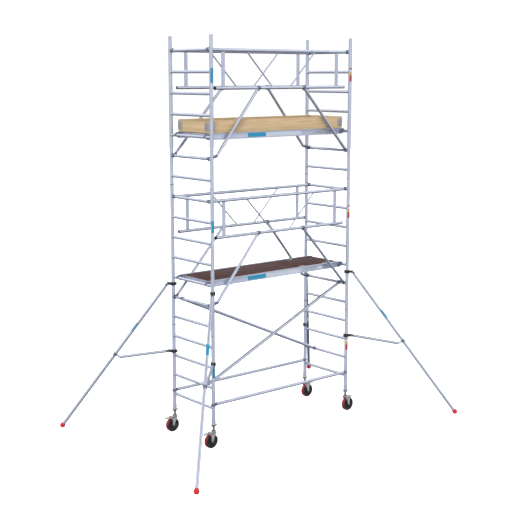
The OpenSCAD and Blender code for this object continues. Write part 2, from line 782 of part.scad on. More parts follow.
module post_clamp(z) {
    ring = post_r + slip;
    half = tongue_t / 2 + ear_play;
    low = z - clamp_h / 2;
    bolt_x = -ring - clamp_bolt_x;
    color(BLACK) difference() {
        union() {
            translate([0, 0, low]) cylinder(h = clamp_h, r = ring + clamp_wall);
            translate([ring, -half - ear_t, low + 4])
                cube([pivot_r - ring + ear_out, 2 * (half + ear_t), clamp_h - 8]);
            translate([-ring - lug_back, -clamp_lug_w / 2, low + 6])
                cube([lug_back + 2, clamp_lug_w, clamp_h - 12]);
        }
        translate([0, 0, z - clamp_h]) cylinder(h = 2 * clamp_h, r = ring);
        translate([pivot_r - 20, -half, z - clamp_h]) cube([60, 2 * half, 2 * clamp_h]);
        translate([-ring - 40, -clamp_slot / 2, z - clamp_h]) cube([50, clamp_slot, 2 * clamp_h]);
        translate([pivot_r, 0, z]) rotate([90, 0, 0]) cylinder(h = 80, r = pivot_bolt_r + fit, center = true);
        translate([bolt_x, 0, z]) rotate([90, 0, 0]) cylinder(h = 80, r = clamp_bolt_r + fit, center = true);
    }
    color(ZINC) {
        translate([pivot_r, 0, z]) rotate([90, 0, 0]) {
            cylinder(h = 2 * (half + ear_t) + 1, r = pivot_bolt_r, center = true);
            for (s = [-1, 1]) translate([0, 0, s * (half + ear_t + weld + pivot_head_t / 2)])
                cylinder(h = pivot_head_t, r = pivot_head_r, $fn = 6, center = true);
        }
        // clamp bolt with its wing nut
        translate([bolt_x, 0, z]) rotate([90, 0, 0])
            cylinder(h = clamp_bolt_l, r = clamp_bolt_r, center = true);
        translate([bolt_x, -clamp_lug_w / 2 - 5, z]) rotate([90, 0, 0]) difference() {
            union() {
                cylinder(h = 8, r = 2 * clamp_bolt_r);
                translate([-clamp_bolt_r, -wing_nut_l / 2, 0]) cube([2 * clamp_bolt_r, wing_nut_l, 7]);
            }
            translate([0, 0, -cut]) cylinder(h = 8 + 2 * cut, r = clamp_bolt_r + fit);
        }
    }
}

// Flattened end of a tube: a tongue on the pivot bolt, with a plug that fills the tube
module tongue(at, u, r) {
    color(DARK) difference() {
        union() {
            translate(at) rotate([90, 0, 0]) cylinder(h = tongue_t, r = tongue_w / 2, center = true);
            along(at, at + u) {
                translate([-tongue_w / 2, -tongue_t / 2, 0]) cube([tongue_w, tongue_t, tongue_l]);
                translate([0, 0, leg_start - 8]) cylinder(h = 8, r = r);
                translate([0, 0, tongue_l]) cylinder(h = tongue_l, r = r - tube_wall - plug_play);
            }
        }
        translate(at) rotate([90, 0, 0]) cylinder(h = 2 * tongue_l, r = pivot_bolt_r + fit, center = true);
    }
}

module stabiliser_tubes() {
    tongue(leg_top, leg_u, leg_d / 2);
    tongue(strut_root, strut_u, strut_d / 2);
    color(ALU) {
        tube(leg_top + leg_u * (leg_start + weld), leg_end - leg_u * 4, leg_d / 2, tube_wall);
        tube(strut_root + strut_u * (leg_start + weld), elbow - strut_u * 2, strut_d / 2, tube_wall);
    }
    // bent end of the strut, on the saddle that holds it to the leg
    color(DARK) difference() {
        union() {
            rod(elbow - strut_u * bend_plug, elbow, strut_d / 2 - tube_wall - plug_play);
            translate(elbow) sphere(r = strut_d / 2 - 1);
            rod(elbow, strut_top, saddle_r);
        }
        rod(leg_top, leg_end, leg_d / 2 + weld);
    }
}

module stabiliser_foot() {
    color(RED) difference() {
        intersection() {
            translate(leg_end) sphere(r = foot_r);
            translate([leg_end[0] - 100, -100, 0]) cube([200, 200, 200]);
        }
        rod(leg_end - leg_u * 200, leg_end - leg_u * 3.5, leg_d / 2 + weld);
    }
}

module stabiliser(c, part) {
    translate([c[1] * lx, c[2] * ly, 0]) rotate(atan2(c[2], c[1])) {
        if (part == "clamps") for (z = [clamp_top_z, clamp_low_z]) post_clamp(z);
        if (part == "tubes") stabiliser_tubes();
        if (part == "foot") stabiliser_foot();
    }
}

// ---------------------------------------------------------------- the nodes

for (level = [0 : 2]) {
    end_frame(-lx, level);
    end_frame(lx, level);
}
frame_locking_pins();
for (side = ["front", "back"]) {
    guard_place(side) guard_frame(0);
    guard_place(side) guard_frame(1);
}
guard_claws();
braces_horizontal();
braces_diagonal();
brace_claws();
for (level = [0, 1]) {
    name = str("platform_", ["lower", "upper"][level]);
    platform_frame(level);
    platform_deck(level);
    platform_hatch(level);
}
platform_hooks();
toe_boards();
toe_board_clips();
for (c = CORNERS) {
    for (part = CASTOR_PARTS)
        castor(c, part);
    for (part = STAY_PARTS)
        stabiliser(c, part);
}
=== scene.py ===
"""Looks of a mobile tower scaffold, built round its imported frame.

Every size and place comes from the frame or from the driving sizes in the dataclasses below. Each
sub-assembly is a class that models its pieces, dresses them and lets them ride on their bodies.
Lengths are metres, +Z is up, and the origin is on the floor under the middle of the bay.
"""

import logging
import math
from contextlib import contextmanager
from dataclasses import dataclass
from enum import Enum
from typing import Callable, ClassVar, Iterable, Iterator, Sequence

import bpy
from mathutils import Matrix, Vector


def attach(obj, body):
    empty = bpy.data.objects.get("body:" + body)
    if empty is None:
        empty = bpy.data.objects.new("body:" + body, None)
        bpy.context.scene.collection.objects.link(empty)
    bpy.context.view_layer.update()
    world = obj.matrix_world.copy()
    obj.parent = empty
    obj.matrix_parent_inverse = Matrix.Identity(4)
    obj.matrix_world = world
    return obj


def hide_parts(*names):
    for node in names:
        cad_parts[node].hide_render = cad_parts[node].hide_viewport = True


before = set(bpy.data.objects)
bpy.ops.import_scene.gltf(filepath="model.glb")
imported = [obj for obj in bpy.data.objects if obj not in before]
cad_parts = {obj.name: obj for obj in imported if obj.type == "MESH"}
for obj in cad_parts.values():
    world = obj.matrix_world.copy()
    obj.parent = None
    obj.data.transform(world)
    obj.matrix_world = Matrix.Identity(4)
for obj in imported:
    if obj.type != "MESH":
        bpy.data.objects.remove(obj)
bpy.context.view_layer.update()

LOG = logging.getLogger("tower")
Colour = tuple[float, float, float]
Point = tuple[float, float, float]
Outline = Sequence[tuple[float, float]]
Piece = bpy.types.Object
Test = Callable[[Vector], bool]
FaceTest = Callable[[Vector, Vector], bool]


# ------------------------------------------------------------------ the tower's driving sizes


class Corner(Enum):
    """A corner of the tower, with the signs of its X and Y."""

    FRONT_LEFT = (-1, -1)
    BACK_LEFT = (-1, 1)
    FRONT_RIGHT = (1, -1)
    BACK_RIGHT = (1, 1)

    @property
    def word(self) -> str:
        """The corner's name in the frame."""
        return self.name.lower()


class Level(Enum):
    """A storey of the tower, with the rung that carries its platform."""

    LOWER = 7
    UPPER = 14

    @property
    def word(self) -> str:
        """The storey's name in the frame."""
        return self.name.lower()


@dataclass(frozen=True)
class Tower:
    """Sizes that several sub-assemblies share."""

    half_length: float = 1.25
    half_width: float = 0.45
    first_rung: float = 0.55
    rung_pitch: float = 0.28
    rungs: int = 18
    post_r: float = 0.0254
    rung_r: float = 0.021
    rail_r: float = 0.0225

    def rung_z(self, k: int) -> float:
        """Height of the axis of rung k, counted from 1."""
        return self.first_rung + self.rung_pitch * (k - 1)

    def post(self, corner: Corner) -> Vector:
        """The point on the floor under a corner's post."""
        sx, sy = corner.value
        return Vector((sx * self.half_length, sy * self.half_width, 0))


TOWER = Tower()


# ------------------------------------------------------------------ shader expressions


class Wire:
    """A number or colour that a node tree works out. Arithmetic on wires adds Math nodes."""

    def __init__(self, net: "Net", socket: bpy.types.NodeSocket) -> None:
        """Wraps one output socket.

        Args:
            net: The tree that the socket belongs to.
            socket: The output socket.
        """
        self.net = net
        self.socket = socket

    def _math(self, operation: str, *values: "Wire | float") -> "Wire":
        """Adds a Math node."""
        return self.net.add("ShaderNodeMath", {"operation": operation}, dict(enumerate(values)))

    def __add__(self, other: "Wire | float") -> "Wire":
        """Sum."""
        return self._math("ADD", self, other)

    def __sub__(self, other: "Wire | float") -> "Wire":
        """Difference."""
        return self._math("SUBTRACT", self, other)

    def __rsub__(self, other: float) -> "Wire":
        """Difference from a plain number."""
        return self._math("SUBTRACT", other, self)

    def __mul__(self, other: "Wire | float") -> "Wire":
        """Product."""
        return self._math("MULTIPLY", self, other)

    __radd__ = __add__
    __rmul__ = __mul__

    def __abs__(self) -> "Wire":
        """Size without its sign."""
        return self._math("ABSOLUTE", self)

    def between(self, low: float, high: float) -> "Wire":
        """Rises smoothly from 0 at low to 1 at high."""
        settings = {"interpolation_type": "SMOOTHSTEP"}
        return self.net.add("ShaderNodeMapRange", settings, {0: self, 1: low, 2: high})


class Net:
    """The node tree of one material, or of the studio's sky."""

    def __init__(self, owner: bpy.types.ID, place: str = "Object") -> None:
        """Empties the owner's tree.

        Args:
            owner: A new material or world.
            place: The coordinates that patterns read.
        """
        owner.use_nodes = True
        self.owner = owner
        self.tree = owner.node_tree
        self.tree.nodes.clear()
        self.place = self.add("ShaderNodeTexCoord", {}, {}, place)

    def add(self, kind: str, settings: dict, inputs: dict, out: int | str = 0) -> Wire:
        """Adds a node.

        Args:
            kind: The node's type.
            settings: Attributes of the node, which are set first.
            inputs: Values or wires, by socket name or number.
            out: Which output to return.

        Returns:
            The output as a wire.
        """
        node = self.tree.nodes.new(kind)
        for key, value in settings.items():
            setattr(node, key, value)
        for key, value in inputs.items():
            if isinstance(value, Wire):
                self.tree.links.new(value.socket, node.inputs[key])
            else:
                node.inputs[key].default_value = value
        return Wire(self, node.outputs[out])

    def noise(self, scale: float, detail: float = 3.0, stretch: Point = (1, 1, 1)) -> Wire:
        """Cloudy noise between 0 and 1.

        Args:
            scale: Clouds per metre.
            detail: Octaves.
            stretch: Scale along each axis, where less than 1 draws the clouds out.

        Returns:
            The noise.
        """
        where = self.add("ShaderNodeMapping", {}, {"Vector": self.place, "Scale": stretch})
        inputs = {"Vector": where, "Scale": scale, "Detail": detail}
        return self.add("ShaderNodeTexNoise", {}, inputs)

    def cells(self, scale: float, out: str = "Color") -> Wire:
        """Crystal-like cells, as many per metre as scale says."""
        inputs = {"Vector": self.place, "Scale": scale}
        return self.add("ShaderNodeTexVoronoi", {}, inputs, out)

    def axis(self, index: int) -> Wire:
        """One coordinate of the place, by number."""
        return self.add("ShaderNodeSeparateXYZ", {}, {0: self.place}, index)

    def toward(self, way: Point) -> Wire:
        """How far the place points along a direction, from -1 to 1."""
        unit = tuple(Vector(way).normalized())
        return self.add("ShaderNodeVectorMath", {"operation": "DOT_PRODUCT"}, {0: self.place, 1: unit}, "Value")

    def bands(self, index: int, pitch: float) -> Wire:
        """A triangle wave between 0 and 1 along one axis, pitch metres long."""
        inputs = {0: self.axis(index), 1: pitch / 2}
        return self.add("ShaderNodeMath", {"operation": "PINGPONG"}, inputs) * (2 / pitch)

    def mix(self, factor: "Wire | float", a: "Wire | Colour", b: "Wire | Colour") -> Wire:
        """A colour between a and b."""
        first, second = (c if isinstance(c, Wire) else (*c, 1.0) for c in (a, b))
        inputs = {0: factor, 6: first, 7: second}
        return self.add("ShaderNodeMix", {"data_type": "RGBA"}, inputs, 2)

    def bump(self, height: Wire, depth: float, strength: float = 1.0) -> Wire:
        """A normal that stands for a relief of that depth in metres."""
        inputs = {"Height": height, "Distance": depth, "Strength": strength}
        return self.add("ShaderNodeBump", {}, inputs)

    def end(self, shader: Wire, kind: str = "ShaderNodeOutputMaterial") -> bpy.types.ID:
        """Ends the tree with that shader and returns its owner."""
        end = self.tree.nodes.new(kind)
        self.tree.links.new(shader.socket, end.inputs["Surface"])
        return self.owner

    def surface(self, inputs: dict) -> bpy.types.Material:
        """Ends the tree with a Principled shader.

        Args:
            inputs: Values or wires, by the shader's socket names.

        Returns:
            The finished material.
        """
        return self.end(self.add("ShaderNodeBsdfPrincipled", {}, inputs))


# ------------------------------------------------------------------ finishes


def paint(red: int, green: int, blue: int) -> Colour:
    """A screen colour, 0 to 255 a channel, as linear light."""
    return tuple(((c / 255 + 0.055) / 1.055) ** 2.4 if c > 10 else c / 3294 for c in (red, green, blue))


def shade(colour: Colour, by: float) -> Colour:
    """The colour, lighter or darker by a factor."""
    return tuple(min(c * by, 1.0) for c in colour)


@dataclass(frozen=True)
class Finish:
    """A surface finish. Its material is made the first time that it is asked for."""

    name: str
    slot: str
    colour: Colour
    made: ClassVar[dict[str, bpy.types.Material]] = {}

    def material(self) -> bpy.types.Material:
        """The finish's material."""
        if self.name not in Finish.made:
            Finish.made[self.name] = self.build(Net(bpy.data.materials.new(self.name)))
        return Finish.made[self.name]

    def build(self, net: Net) -> bpy.types.Material:
        """Fills the node tree."""
        raise NotImplementedError


@dataclass(frozen=True)
class Metal(Finish):
    """Drawn, pressed or cast metal with cloudy tone, fine scratches and a grain."""

    metallic: float = 0.9
    roughness: float = 0.36
    clouds: float = 9.0
    depth: float = 0.10
    grain: float = 900.0
    relief: float = 0.00002

    def build(self, net: Net) -> bpy.types.Material:
        """Fills the node tree."""
        cloud = net.noise(self.clouds, 4.0)
        scuff = net.noise(self.clouds * 7, 2.0, (1, 1, 0.2)).between(0.56, 0.72)
        fine = net.noise(self.grain, 2.0)
        tone = net.mix(cloud, shade(self.colour, 1 - self.depth), shade(self.colour, 1 + self.depth))
        rough = cloud * 0.06 + scuff * 0.05 + (self.roughness - 0.05)
        return net.surface({
            "Base Color": net.mix(scuff * 0.25, tone, shade(self.colour, 1.12)),
            "Metallic": self.metallic,
            "Roughness": rough,
            "Normal": net.bump(fine, self.relief, 0.35),
        })


@dataclass(frozen=True)
class Spangle(Finish):
    """Zinc-plated steel: faint crystals and a slight yellow bloom."""

    crystals: float = 260.0
    roughness: float = 0.3
    bloom: Colour = paint(190, 180, 160)

    def build(self, net: Net) -> bpy.types.Material:
        """Fills the node tree."""
        crystal = net.add("ShaderNodeSeparateColor", {}, {0: net.cells(self.crystals)})
        cloud = net.noise(22.0, 3.0)
        tone = net.mix(crystal, shade(self.colour, 0.86), shade(self.colour, 1.1))
        return net.surface({
            "Base Color": net.mix(cloud.between(0.45, 0.8) * 0.45, tone, self.bloom),
            "Metallic": 0.85,
            "Roughness": crystal * 0.14 + cloud * 0.12 + (self.roughness - 0.1),
            "Normal": net.bump(net.noise(500.0, 2.0), 0.00002, 0.4),
        })


@dataclass(frozen=True)
class Moulded(Finish):
    """Moulded plastic or rubber, or powder-coated iron, with a dusty skin of fine grain."""

    roughness: float = 0.5
    grain: float = 700.0
    relief: float = 0.00004
    dust: float = 0.12
    dust_colour: Colour = paint(176, 172, 166)

    def build(self, net: Net) -> bpy.types.Material:
        """Fills the node tree."""
        cloud = net.noise(18.0, 5.0)
        settled = cloud.between(0.5, 0.78) * self.dust
        tone = net.mix(net.noise(60.0, 2.0), shade(self.colour, 0.88), shade(self.colour, 1.12))
        return net.surface({
            "Base Color": net.mix(settled, tone, self.dust_colour),
            "Roughness": cloud * 0.16 + (self.roughness - 0.08),
            "Normal": net.bump(net.noise(self.grain, 3.0), self.relief, 0.6),
        })


@dataclass(frozen=True)
class Plywood(Finish):
    """Film-faced plywood: wire-mesh print on both faces and bare plies at its edges."""

    mesh: float = 0.006
    ply: float = 0.0026
    bare: Colour = paint(168, 128, 92)

    def build(self, net: Net) -> bpy.types.Material:
        """Fills the node tree."""
        print_ = abs(net.bands(0, self.mesh) - net.bands(1, self.mesh)).between(0.06, 0.4)
        cloud = net.noise(5.0, 5.0)
        worn = net.noise(38.0, 4.0, (0.35, 1, 1)).between(0.58, 0.78)
        film = net.mix(cloud, shade(self.colour, 0.82), shade(self.colour, 1.2))
        film = net.mix(print_ * 0.35, shade_wire(net, film, 0.75), film)
        film = net.mix(worn * 0.16, film, paint(140, 108, 96))
        plies = net.mix(net.bands(2, self.ply).between(0.35, 0.65), shade(self.bare, 0.62), self.bare)
        up = net.add("ShaderNodeSeparateXYZ", {}, {0: net.add("ShaderNodeTexCoord", {}, {}, "Normal")}, 2)
        return net.surface({
            "Base Color": net.mix(abs(up).between(0.3, 0.7), plies, film),
            "Roughness": 0.70 - print_ * 0.12 + worn * 0.12,
            "Specular IOR Level": 0.18,
            "Normal": net.bump(print_, 0.0003, 0.5),
        })


def shade_wire(net: Net, colour: Wire, by: float) -> Wire:
    """A wired colour, darkened by a factor."""
    settings = {"data_type": "RGBA", "blend_type": "MULTIPLY"}
    return net.add("ShaderNodeMix", settings, {0: 1.0, 6: colour, 7: (by, by, by, 1.0)}, 2)


class Grain(Enum):
    """Which way a board's grain runs, as the scale along each axis."""

    ALONG_X = (0.045, 1.0, 1.0)
    ALONG_Y = (1.0, 0.045, 1.0)


@dataclass(frozen=True)
class Timber(Finish):
    """Planed softwood board with growth rings and pores."""

    grain: Grain = Grain.ALONG_X
    late: Colour = paint(198, 168, 124)

    def build(self, net: Net) -> bpy.types.Material:
        """Fills the node tree."""
        warp = net.noise(9.0, 2.0, self.grain.value)
        rings = net.noise(70.0, 4.0, self.grain.value) * 0.55 + warp * 0.45
        pores = net.noise(420.0, 2.0, self.grain.value).between(0.55, 0.75)
        tone = net.mix(rings.between(0.42, 0.62), self.late, self.colour)
        tone = net.mix(net.noise(1.6, 2.0) * 0.35, tone, shade(self.colour, 1.12))
        return net.surface({
            "Base Color": net.mix(pores * 0.3, tone, shade(self.late, 0.7)),
            "Roughness": 0.5 + rings * 0.2,
            "Normal": net.bump(rings + pores * -0.4, 0.0002, 0.45),
        })


@dataclass(frozen=True)
class Vinyl(Finish):
    """Printed film under a clear layer, a little faded."""

    def build(self, net: Net) -> bpy.types.Material:
        """Fills the node tree."""
        fade = net.noise(26.0, 3.0)
        wrinkle = net.noise(90.0, 2.0)
        return net.surface({
            "Base Color": net.mix(fade, shade(self.colour, 0.92), shade(self.colour, 1.1)),
            "Roughness": 0.32 + fade * 0.12,
            "Coat Weight": 0.3,
            "Normal": net.bump(wrinkle, 0.00006, 0.3),
        })


class Shop:
    """The tower's finishes."""

    tube = Metal("drawn_aluminium", "alu_tube", paint(206, 212, 228), roughness=0.36,
                 clouds=5.0, relief=0.000008)
    profile = Metal("extruded_aluminium", "alu_profile", paint(204, 210, 226), roughness=0.4)
    casting = Metal("dark_cast_aluminium", "dark_casting", paint(126, 133, 152), 0.75, 0.46, 30.0, 0.2,
                    350.0, 0.00008)
    bead = Metal("weld_bead", "alu_tube", paint(186, 190, 202), 0.9, 0.42, 90.0, 0.16)
    zinc = Spangle("bright_zinc", "zinc", paint(186, 184, 184))
    cast_zinc = Spangle("cast_zinc", "zinc", paint(134, 131, 127), 300.0, 0.42, paint(146, 136, 122))
    screw = Spangle("screw_zinc", "zinc", paint(186, 188, 194), 600.0, 0.34)
    spindle = Metal("spindle_steel", "spindle_steel", paint(132, 131, 130), 0.9, 0.38, 40.0, 0.14)
    deck = Plywood("film_faced_plywood", "deck_ply", paint(80, 44, 38))
    board_x = Timber("board_along", "toe_board_wood", paint(216, 190, 150))
    board_y = Timber("board_across", "toe_board_wood", paint(216, 190, 150), Grain.ALONG_Y)
    core = Moulded("black_wheel_core", "wheel_core", paint(28, 28, 31), 0.46)
    tyre = Moulded("red_tyre", "tyre_red", paint(138, 22, 30), 0.42, 500.0, 0.00005, 0.1)
    clamp = Moulded("black_powder_coat", "clamp_black", paint(30, 31, 35), 0.5, 420.0, 0.00008, 0.1)
    foot = Moulded("red_rubber_foot", "foot_red", paint(206, 36, 48), 0.6, 400.0, 0.00008, 0.08)
    plug = Moulded("black_end_plug", "clamp_black", paint(28, 29, 33), 0.45)
    blue = Vinyl("blue_label", "alu_profile", paint(10, 140, 182))
    pale = Vinyl("pale_label", "alu_profile", paint(198, 206, 218))
    grey = Vinyl("grey_label", "alu_profile", paint(150, 152, 160))
    amber = Vinyl("amber_label", "alu_tube", paint(206, 160, 60))
    red = Vinyl("red_label", "alu_tube", paint(160, 48, 46))

    @classmethod
    def for_slot(cls, slot: str) -> Finish:
        """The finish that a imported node's own slot asks for."""
        return {
            "alu_tube": cls.tube, "alu_profile": cls.profile, "dark_casting": cls.casting,
            "zinc": cls.zinc, "spindle_steel": cls.spindle, "deck_ply": cls.deck,
            "toe_board_wood": cls.board_x, "wheel_core": cls.core, "tyre_red": cls.tyre,
            "clamp_black": cls.clamp, "foot_red": cls.foot,
        }[slot]


# ------------------------------------------------------------------ modelling bench


def turn(axis: str, angle: float) -> Matrix:
    """A turn about one axis through the origin, in degrees."""
    return Matrix.Rotation(math.radians(angle), 4, axis)


def shift(x: float, y: float, z: float) -> Matrix:
    """A move without a turn."""
    return Matrix.Translation(Vector((x, y, z)))


def arc(centre: tuple[float, float], r: float, start: float, end: float, steps: int) -> list:
    """Points on an arc of an outline.

    Args:
        centre: The arc's centre.
        r: Its radius.
        start: Angle of the first point in degrees.
        end: Angle of the last point.
        steps: Number of chords.

    Returns:
        The points, both ends included.
    """
    angles = [math.radians(start + (end - start) * i / steps) for i in range(steps + 1)]
    return [(centre[0] + r * math.cos(a), centre[1] + r * math.sin(a)) for a in angles]


class Bench:
    """Blender's operators, used on one piece at a time as by hand."""

    @staticmethod
    def take(*pieces: Piece) -> None:
        """Selects these pieces and nothing else. The first is active."""
        bpy.ops.object.select_all(action="DESELECT")
        for piece in pieces:
            piece.select_set(True)
        bpy.context.view_layer.objects.active = pieces[0]

    @staticmethod
    @contextmanager
    def editing(piece: Piece, mode: str = "FACE") -> Iterator[None]:
        """Edit mode on one piece, with everything selected.

        Args:
            piece: The piece.
            mode: VERT, EDGE or FACE.
        """
        Bench.take(piece)
        bpy.ops.object.mode_set(mode="EDIT")
        bpy.ops.mesh.select_mode(type=mode)
        bpy.ops.mesh.select_all(action="SELECT")
        yield
        bpy.ops.object.mode_set(mode="OBJECT")

    @staticmethod
    def pick_faces(piece: Piece, test: FaceTest) -> None:
        """Selects the faces whose centre and normal pass the test."""
        bpy.ops.mesh.select_all(action="DESELECT")
        bpy.ops.object.mode_set(mode="OBJECT")
        for face in piece.data.polygons:
            face.select = test(face.center, face.normal)
        bpy.ops.object.mode_set(mode="EDIT")

    @staticmethod
    def pick_points(piece: Piece, test: Test) -> None:
        """Selects the points whose place passes the test."""
        bpy.ops.mesh.select_mode(type="VERT")
        bpy.ops.mesh.select_all(action="DESELECT")
        bpy.ops.object.mode_set(mode="OBJECT")
        for point in piece.data.vertices:
            point.select = test(point.co)
        bpy.ops.object.mode_set(mode="EDIT")

    @staticmethod
    def modify(piece: Piece, kind: str, settings: dict) -> None:
        """Adds a modifier and applies it."""
        Bench.take(piece)
        modifier = piece.modifiers.new(kind.lower(), kind)
        for key, value in settings.items():
            setattr(modifier, key, value)
        bpy.ops.object.modifier_apply(modifier=modifier.name)

    @staticmethod
    def bevel(piece: Piece, width: float, segments: int = 2, angle: float = 32.0) -> None:
        """Rounds every edge sharper than the angle in degrees."""
        Bench.modify(piece, "BEVEL", {
            "width": width, "segments": segments, "limit_method": "ANGLE",
            "angle_limit": math.radians(angle), "use_clamp_overlap": True,
        })

    @staticmethod
    def apply(piece: Piece) -> None:
        """Puts the piece's place into its mesh."""
        Bench.take(piece)
        bpy.ops.object.transform_apply(location=True, rotation=True, scale=True)

    @staticmethod
    def primitive(kind: str, **settings: object) -> Piece:
        """Adds a primitive by itself and puts its place into its mesh."""
        bpy.ops.object.select_all(action="DESELECT")
        getattr(bpy.ops.mesh, f"primitive_{kind}_add")(**settings)
        piece = bpy.context.active_object
        Bench.apply(piece)
        return piece

    @staticmethod
    def block(low: Point, high: Point, bevel: float = 0.0, segments: int = 2) -> Piece:
        """A box between two corners, with rounded edges."""
        middle = [(a + b) / 2 for a, b in zip(low, high)]
        size = [b - a for a, b in zip(low, high)]
        piece = Bench.primitive("cube", size=1, location=middle, scale=size)
        if bevel:
            Bench.bevel(piece, bevel, segments)
        return piece

    @staticmethod
    def rod(start: Vector, end: Vector, r: float, sides: int = 32, bevel: float = 0.0008,
            open_ends: bool = False) -> Piece:
        """A round or many-sided bar from one point to another, its rims bevelled."""
        way = end - start
        piece = Bench.primitive(
            "cylinder", vertices=sides, radius=r, depth=way.length, location=(start + end) / 2,
            rotation=way.to_track_quat("Z", "X").to_euler(),
            end_fill_type="NOTHING" if open_ends else "NGON")
        if bevel and not open_ends:
            Bench.bevel(piece, bevel, 2, 50.0)
        return piece

    @staticmethod
    def outline(points: Iterable[Point], closed: bool) -> Piece:
        """A chain of edges, drawn point by point from a single vertex."""
        first, *rest = [Vector(p) for p in points]
        piece = Bench.primitive("plane", size=0.01, location=first)
        with Bench.editing(piece, "VERT"):
            bpy.ops.mesh.merge(type="CENTER")
            at = first
            for point in rest:
                bpy.ops.mesh.extrude_vertices_move(TRANSFORM_OT_translate={"value": point - at})
                at = point
            if closed:
                Bench.pick_points(piece, lambda p: (p - first).length < 1e-7 or (p - at).length < 1e-7)
                bpy.ops.mesh.edge_face_add()
        return piece

    @staticmethod
    def spun(profile: Outline, steps: int = 48, closed: bool = False) -> Piece:
        """Turns a profile of (radius, height) points about the Z axis.

        Args:
            profile: The points.
            steps: Facets round the axis.
            closed: Whether the profile is a ring, as a tyre's is, and not a chain that ends on the axis.

        Returns:
            The turned piece, its doubles merged and its faces outwards.
        """
        piece = Bench.outline([(r, 0, z) for r, z in profile], closed)
        with Bench.editing(piece, "VERT"):
            bpy.ops.mesh.spin(steps=steps, angle=math.tau, center=(0, 0, 0), axis=(0, 0, 1))
            bpy.ops.mesh.select_all(action="SELECT")
            bpy.ops.mesh.remove_doubles(threshold=1e-6)
            bpy.ops.mesh.normals_make_consistent(inside=False)
        return piece

    @staticmethod
    def plate(points: Outline, depth: float, bevel: float = 0.0, segments: int = 2) -> Piece:
        """A plate of any outline in the XY plane, depth thick from z 0 upwards, edges rounded."""
        piece = Bench.outline([(x, y, 0) for x, y in points], True)
        with Bench.editing(piece, "VERT"):
            bpy.ops.mesh.edge_face_add()
            bpy.ops.mesh.select_all(action="SELECT")
            bpy.ops.mesh.extrude_region_move(TRANSFORM_OT_translate={"value": (0, 0, depth)})
            bpy.ops.mesh.select_all(action="SELECT")
            bpy.ops.mesh.normals_make_consistent(inside=False)
        if bevel:
            Bench.bevel(piece, bevel, segments)
        return piece

    @staticmethod
    def moved(piece: Piece, matrix: Matrix) -> Piece:
        """Moves a piece and puts the move into its mesh."""
        piece.matrix_world = matrix
        Bench.apply(piece)
        return piece

    @staticmethod
    def copy(piece: Piece, matrix: Matrix = Matrix.Identity(4)) -> Piece:
        """A copy with its own mesh, moved by the matrix."""
        twin = bpy.data.objects.new(piece.name, piece.data.copy())
        bpy.context.scene.collection.objects.link(twin)
        return Bench.moved(twin, matrix)

    @staticmethod
    def drop(*pieces: Piece) -> None:
        """Deletes pieces that were only patterns."""
        Bench.take(*pieces)
        bpy.ops.object.delete()

    @staticmethod
    def join(pieces: Sequence[Piece]) -> Piece:
        """Joins pieces into the first."""
        if len(pieces) > 1:
            Bench.take(*pieces)
            bpy.ops.object.join()
        return pieces[0]

    @staticmethod
    def repeat(pattern: Piece, places: Iterable[Matrix]) -> Piece:
        """Copies a pattern to every place, joins the copies and deletes the pattern."""
        piece = Bench.join([Bench.copy(pattern, place) for place in places])
        Bench.drop(pattern)
        return piece

    @staticmethod
    def split_copy(node: str, sort: Callable[[Vector, Vector], str]) -> dict[str, Piece]:
        """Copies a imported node, merges its triangles and sorts its solids.

        Args:
            node: The node's name.
            sort: Gives the group of a solid from its lowest and highest corner.

        Returns:
            One joined piece for each group.
        """
        whole = bpy.data.objects.new(node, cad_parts[node].data.copy())
        bpy.context.scene.collection.objects.link(whole)
        Bench.take(whole)
        bpy.ops.mesh.customdata_custom_splitnormals_clear()
        with Bench.editing(whole, "VERT"):
            bpy.ops.mesh.remove_doubles(threshold=1e-5)
            bpy.ops.mesh.dissolve_limited(angle_limit=math.radians(1.5))
            bpy.ops.mesh.select_all(action="SELECT")
            bpy.ops.mesh.separate(type="LOOSE")
        groups: dict[str, list[Piece]] = {}
        for solid in list(bpy.context.selected_objects):
            points = [v.co for v in solid.data.vertices]
            low = Vector([min(p[i] for p in points) for i in range(3)])
            high = Vector([max(p[i] for p in points) for i in range(3)])
            groups.setdefault(sort(low, high), []).append(solid)
        return {group: Bench.join(solids) for group, solids in groups.items()}

    @staticmethod
    def rounded(node: str, name: str, finish: Finish, width: float) -> None:
        """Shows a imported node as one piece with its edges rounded."""
        piece = Bench.split_copy(node, lambda low, high: node)[node]
        Bench.bevel(piece, width)
        Bench.finish(piece, name, finish, stands_for=[node])

    @staticmethod
    def finish(piece: Piece, name: str, finish: Finish, body: str = "root",
               stands_for: Iterable[str] = (), smooth: float = 34.0) -> Piece:
        """Names, smooths and dresses a piece, and lets it ride on its body.

        Args:
            piece: The piece, in place.
            name: Its name.
            finish: Its finish.
            body: The body that it moves with.
            stands_for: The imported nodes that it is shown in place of.
            smooth: Largest angle in degrees across which the surface looks round.

        Returns:
            The piece.
        """
        piece.name = piece.data.name = name
        piece.data.materials.clear()
        piece.data.materials.append(finish.material())
        Bench.take(piece)
        bpy.ops.object.shade_smooth_by_angle(angle=math.radians(smooth))
        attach(piece, body)
        nodes = list(stands_for)
        if nodes:
            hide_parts(*nodes)
        LOG.info("%s: %d faces on %s", name, len(piece.data.polygons), body)
        return piece


# ------------------------------------------------------------------ frames


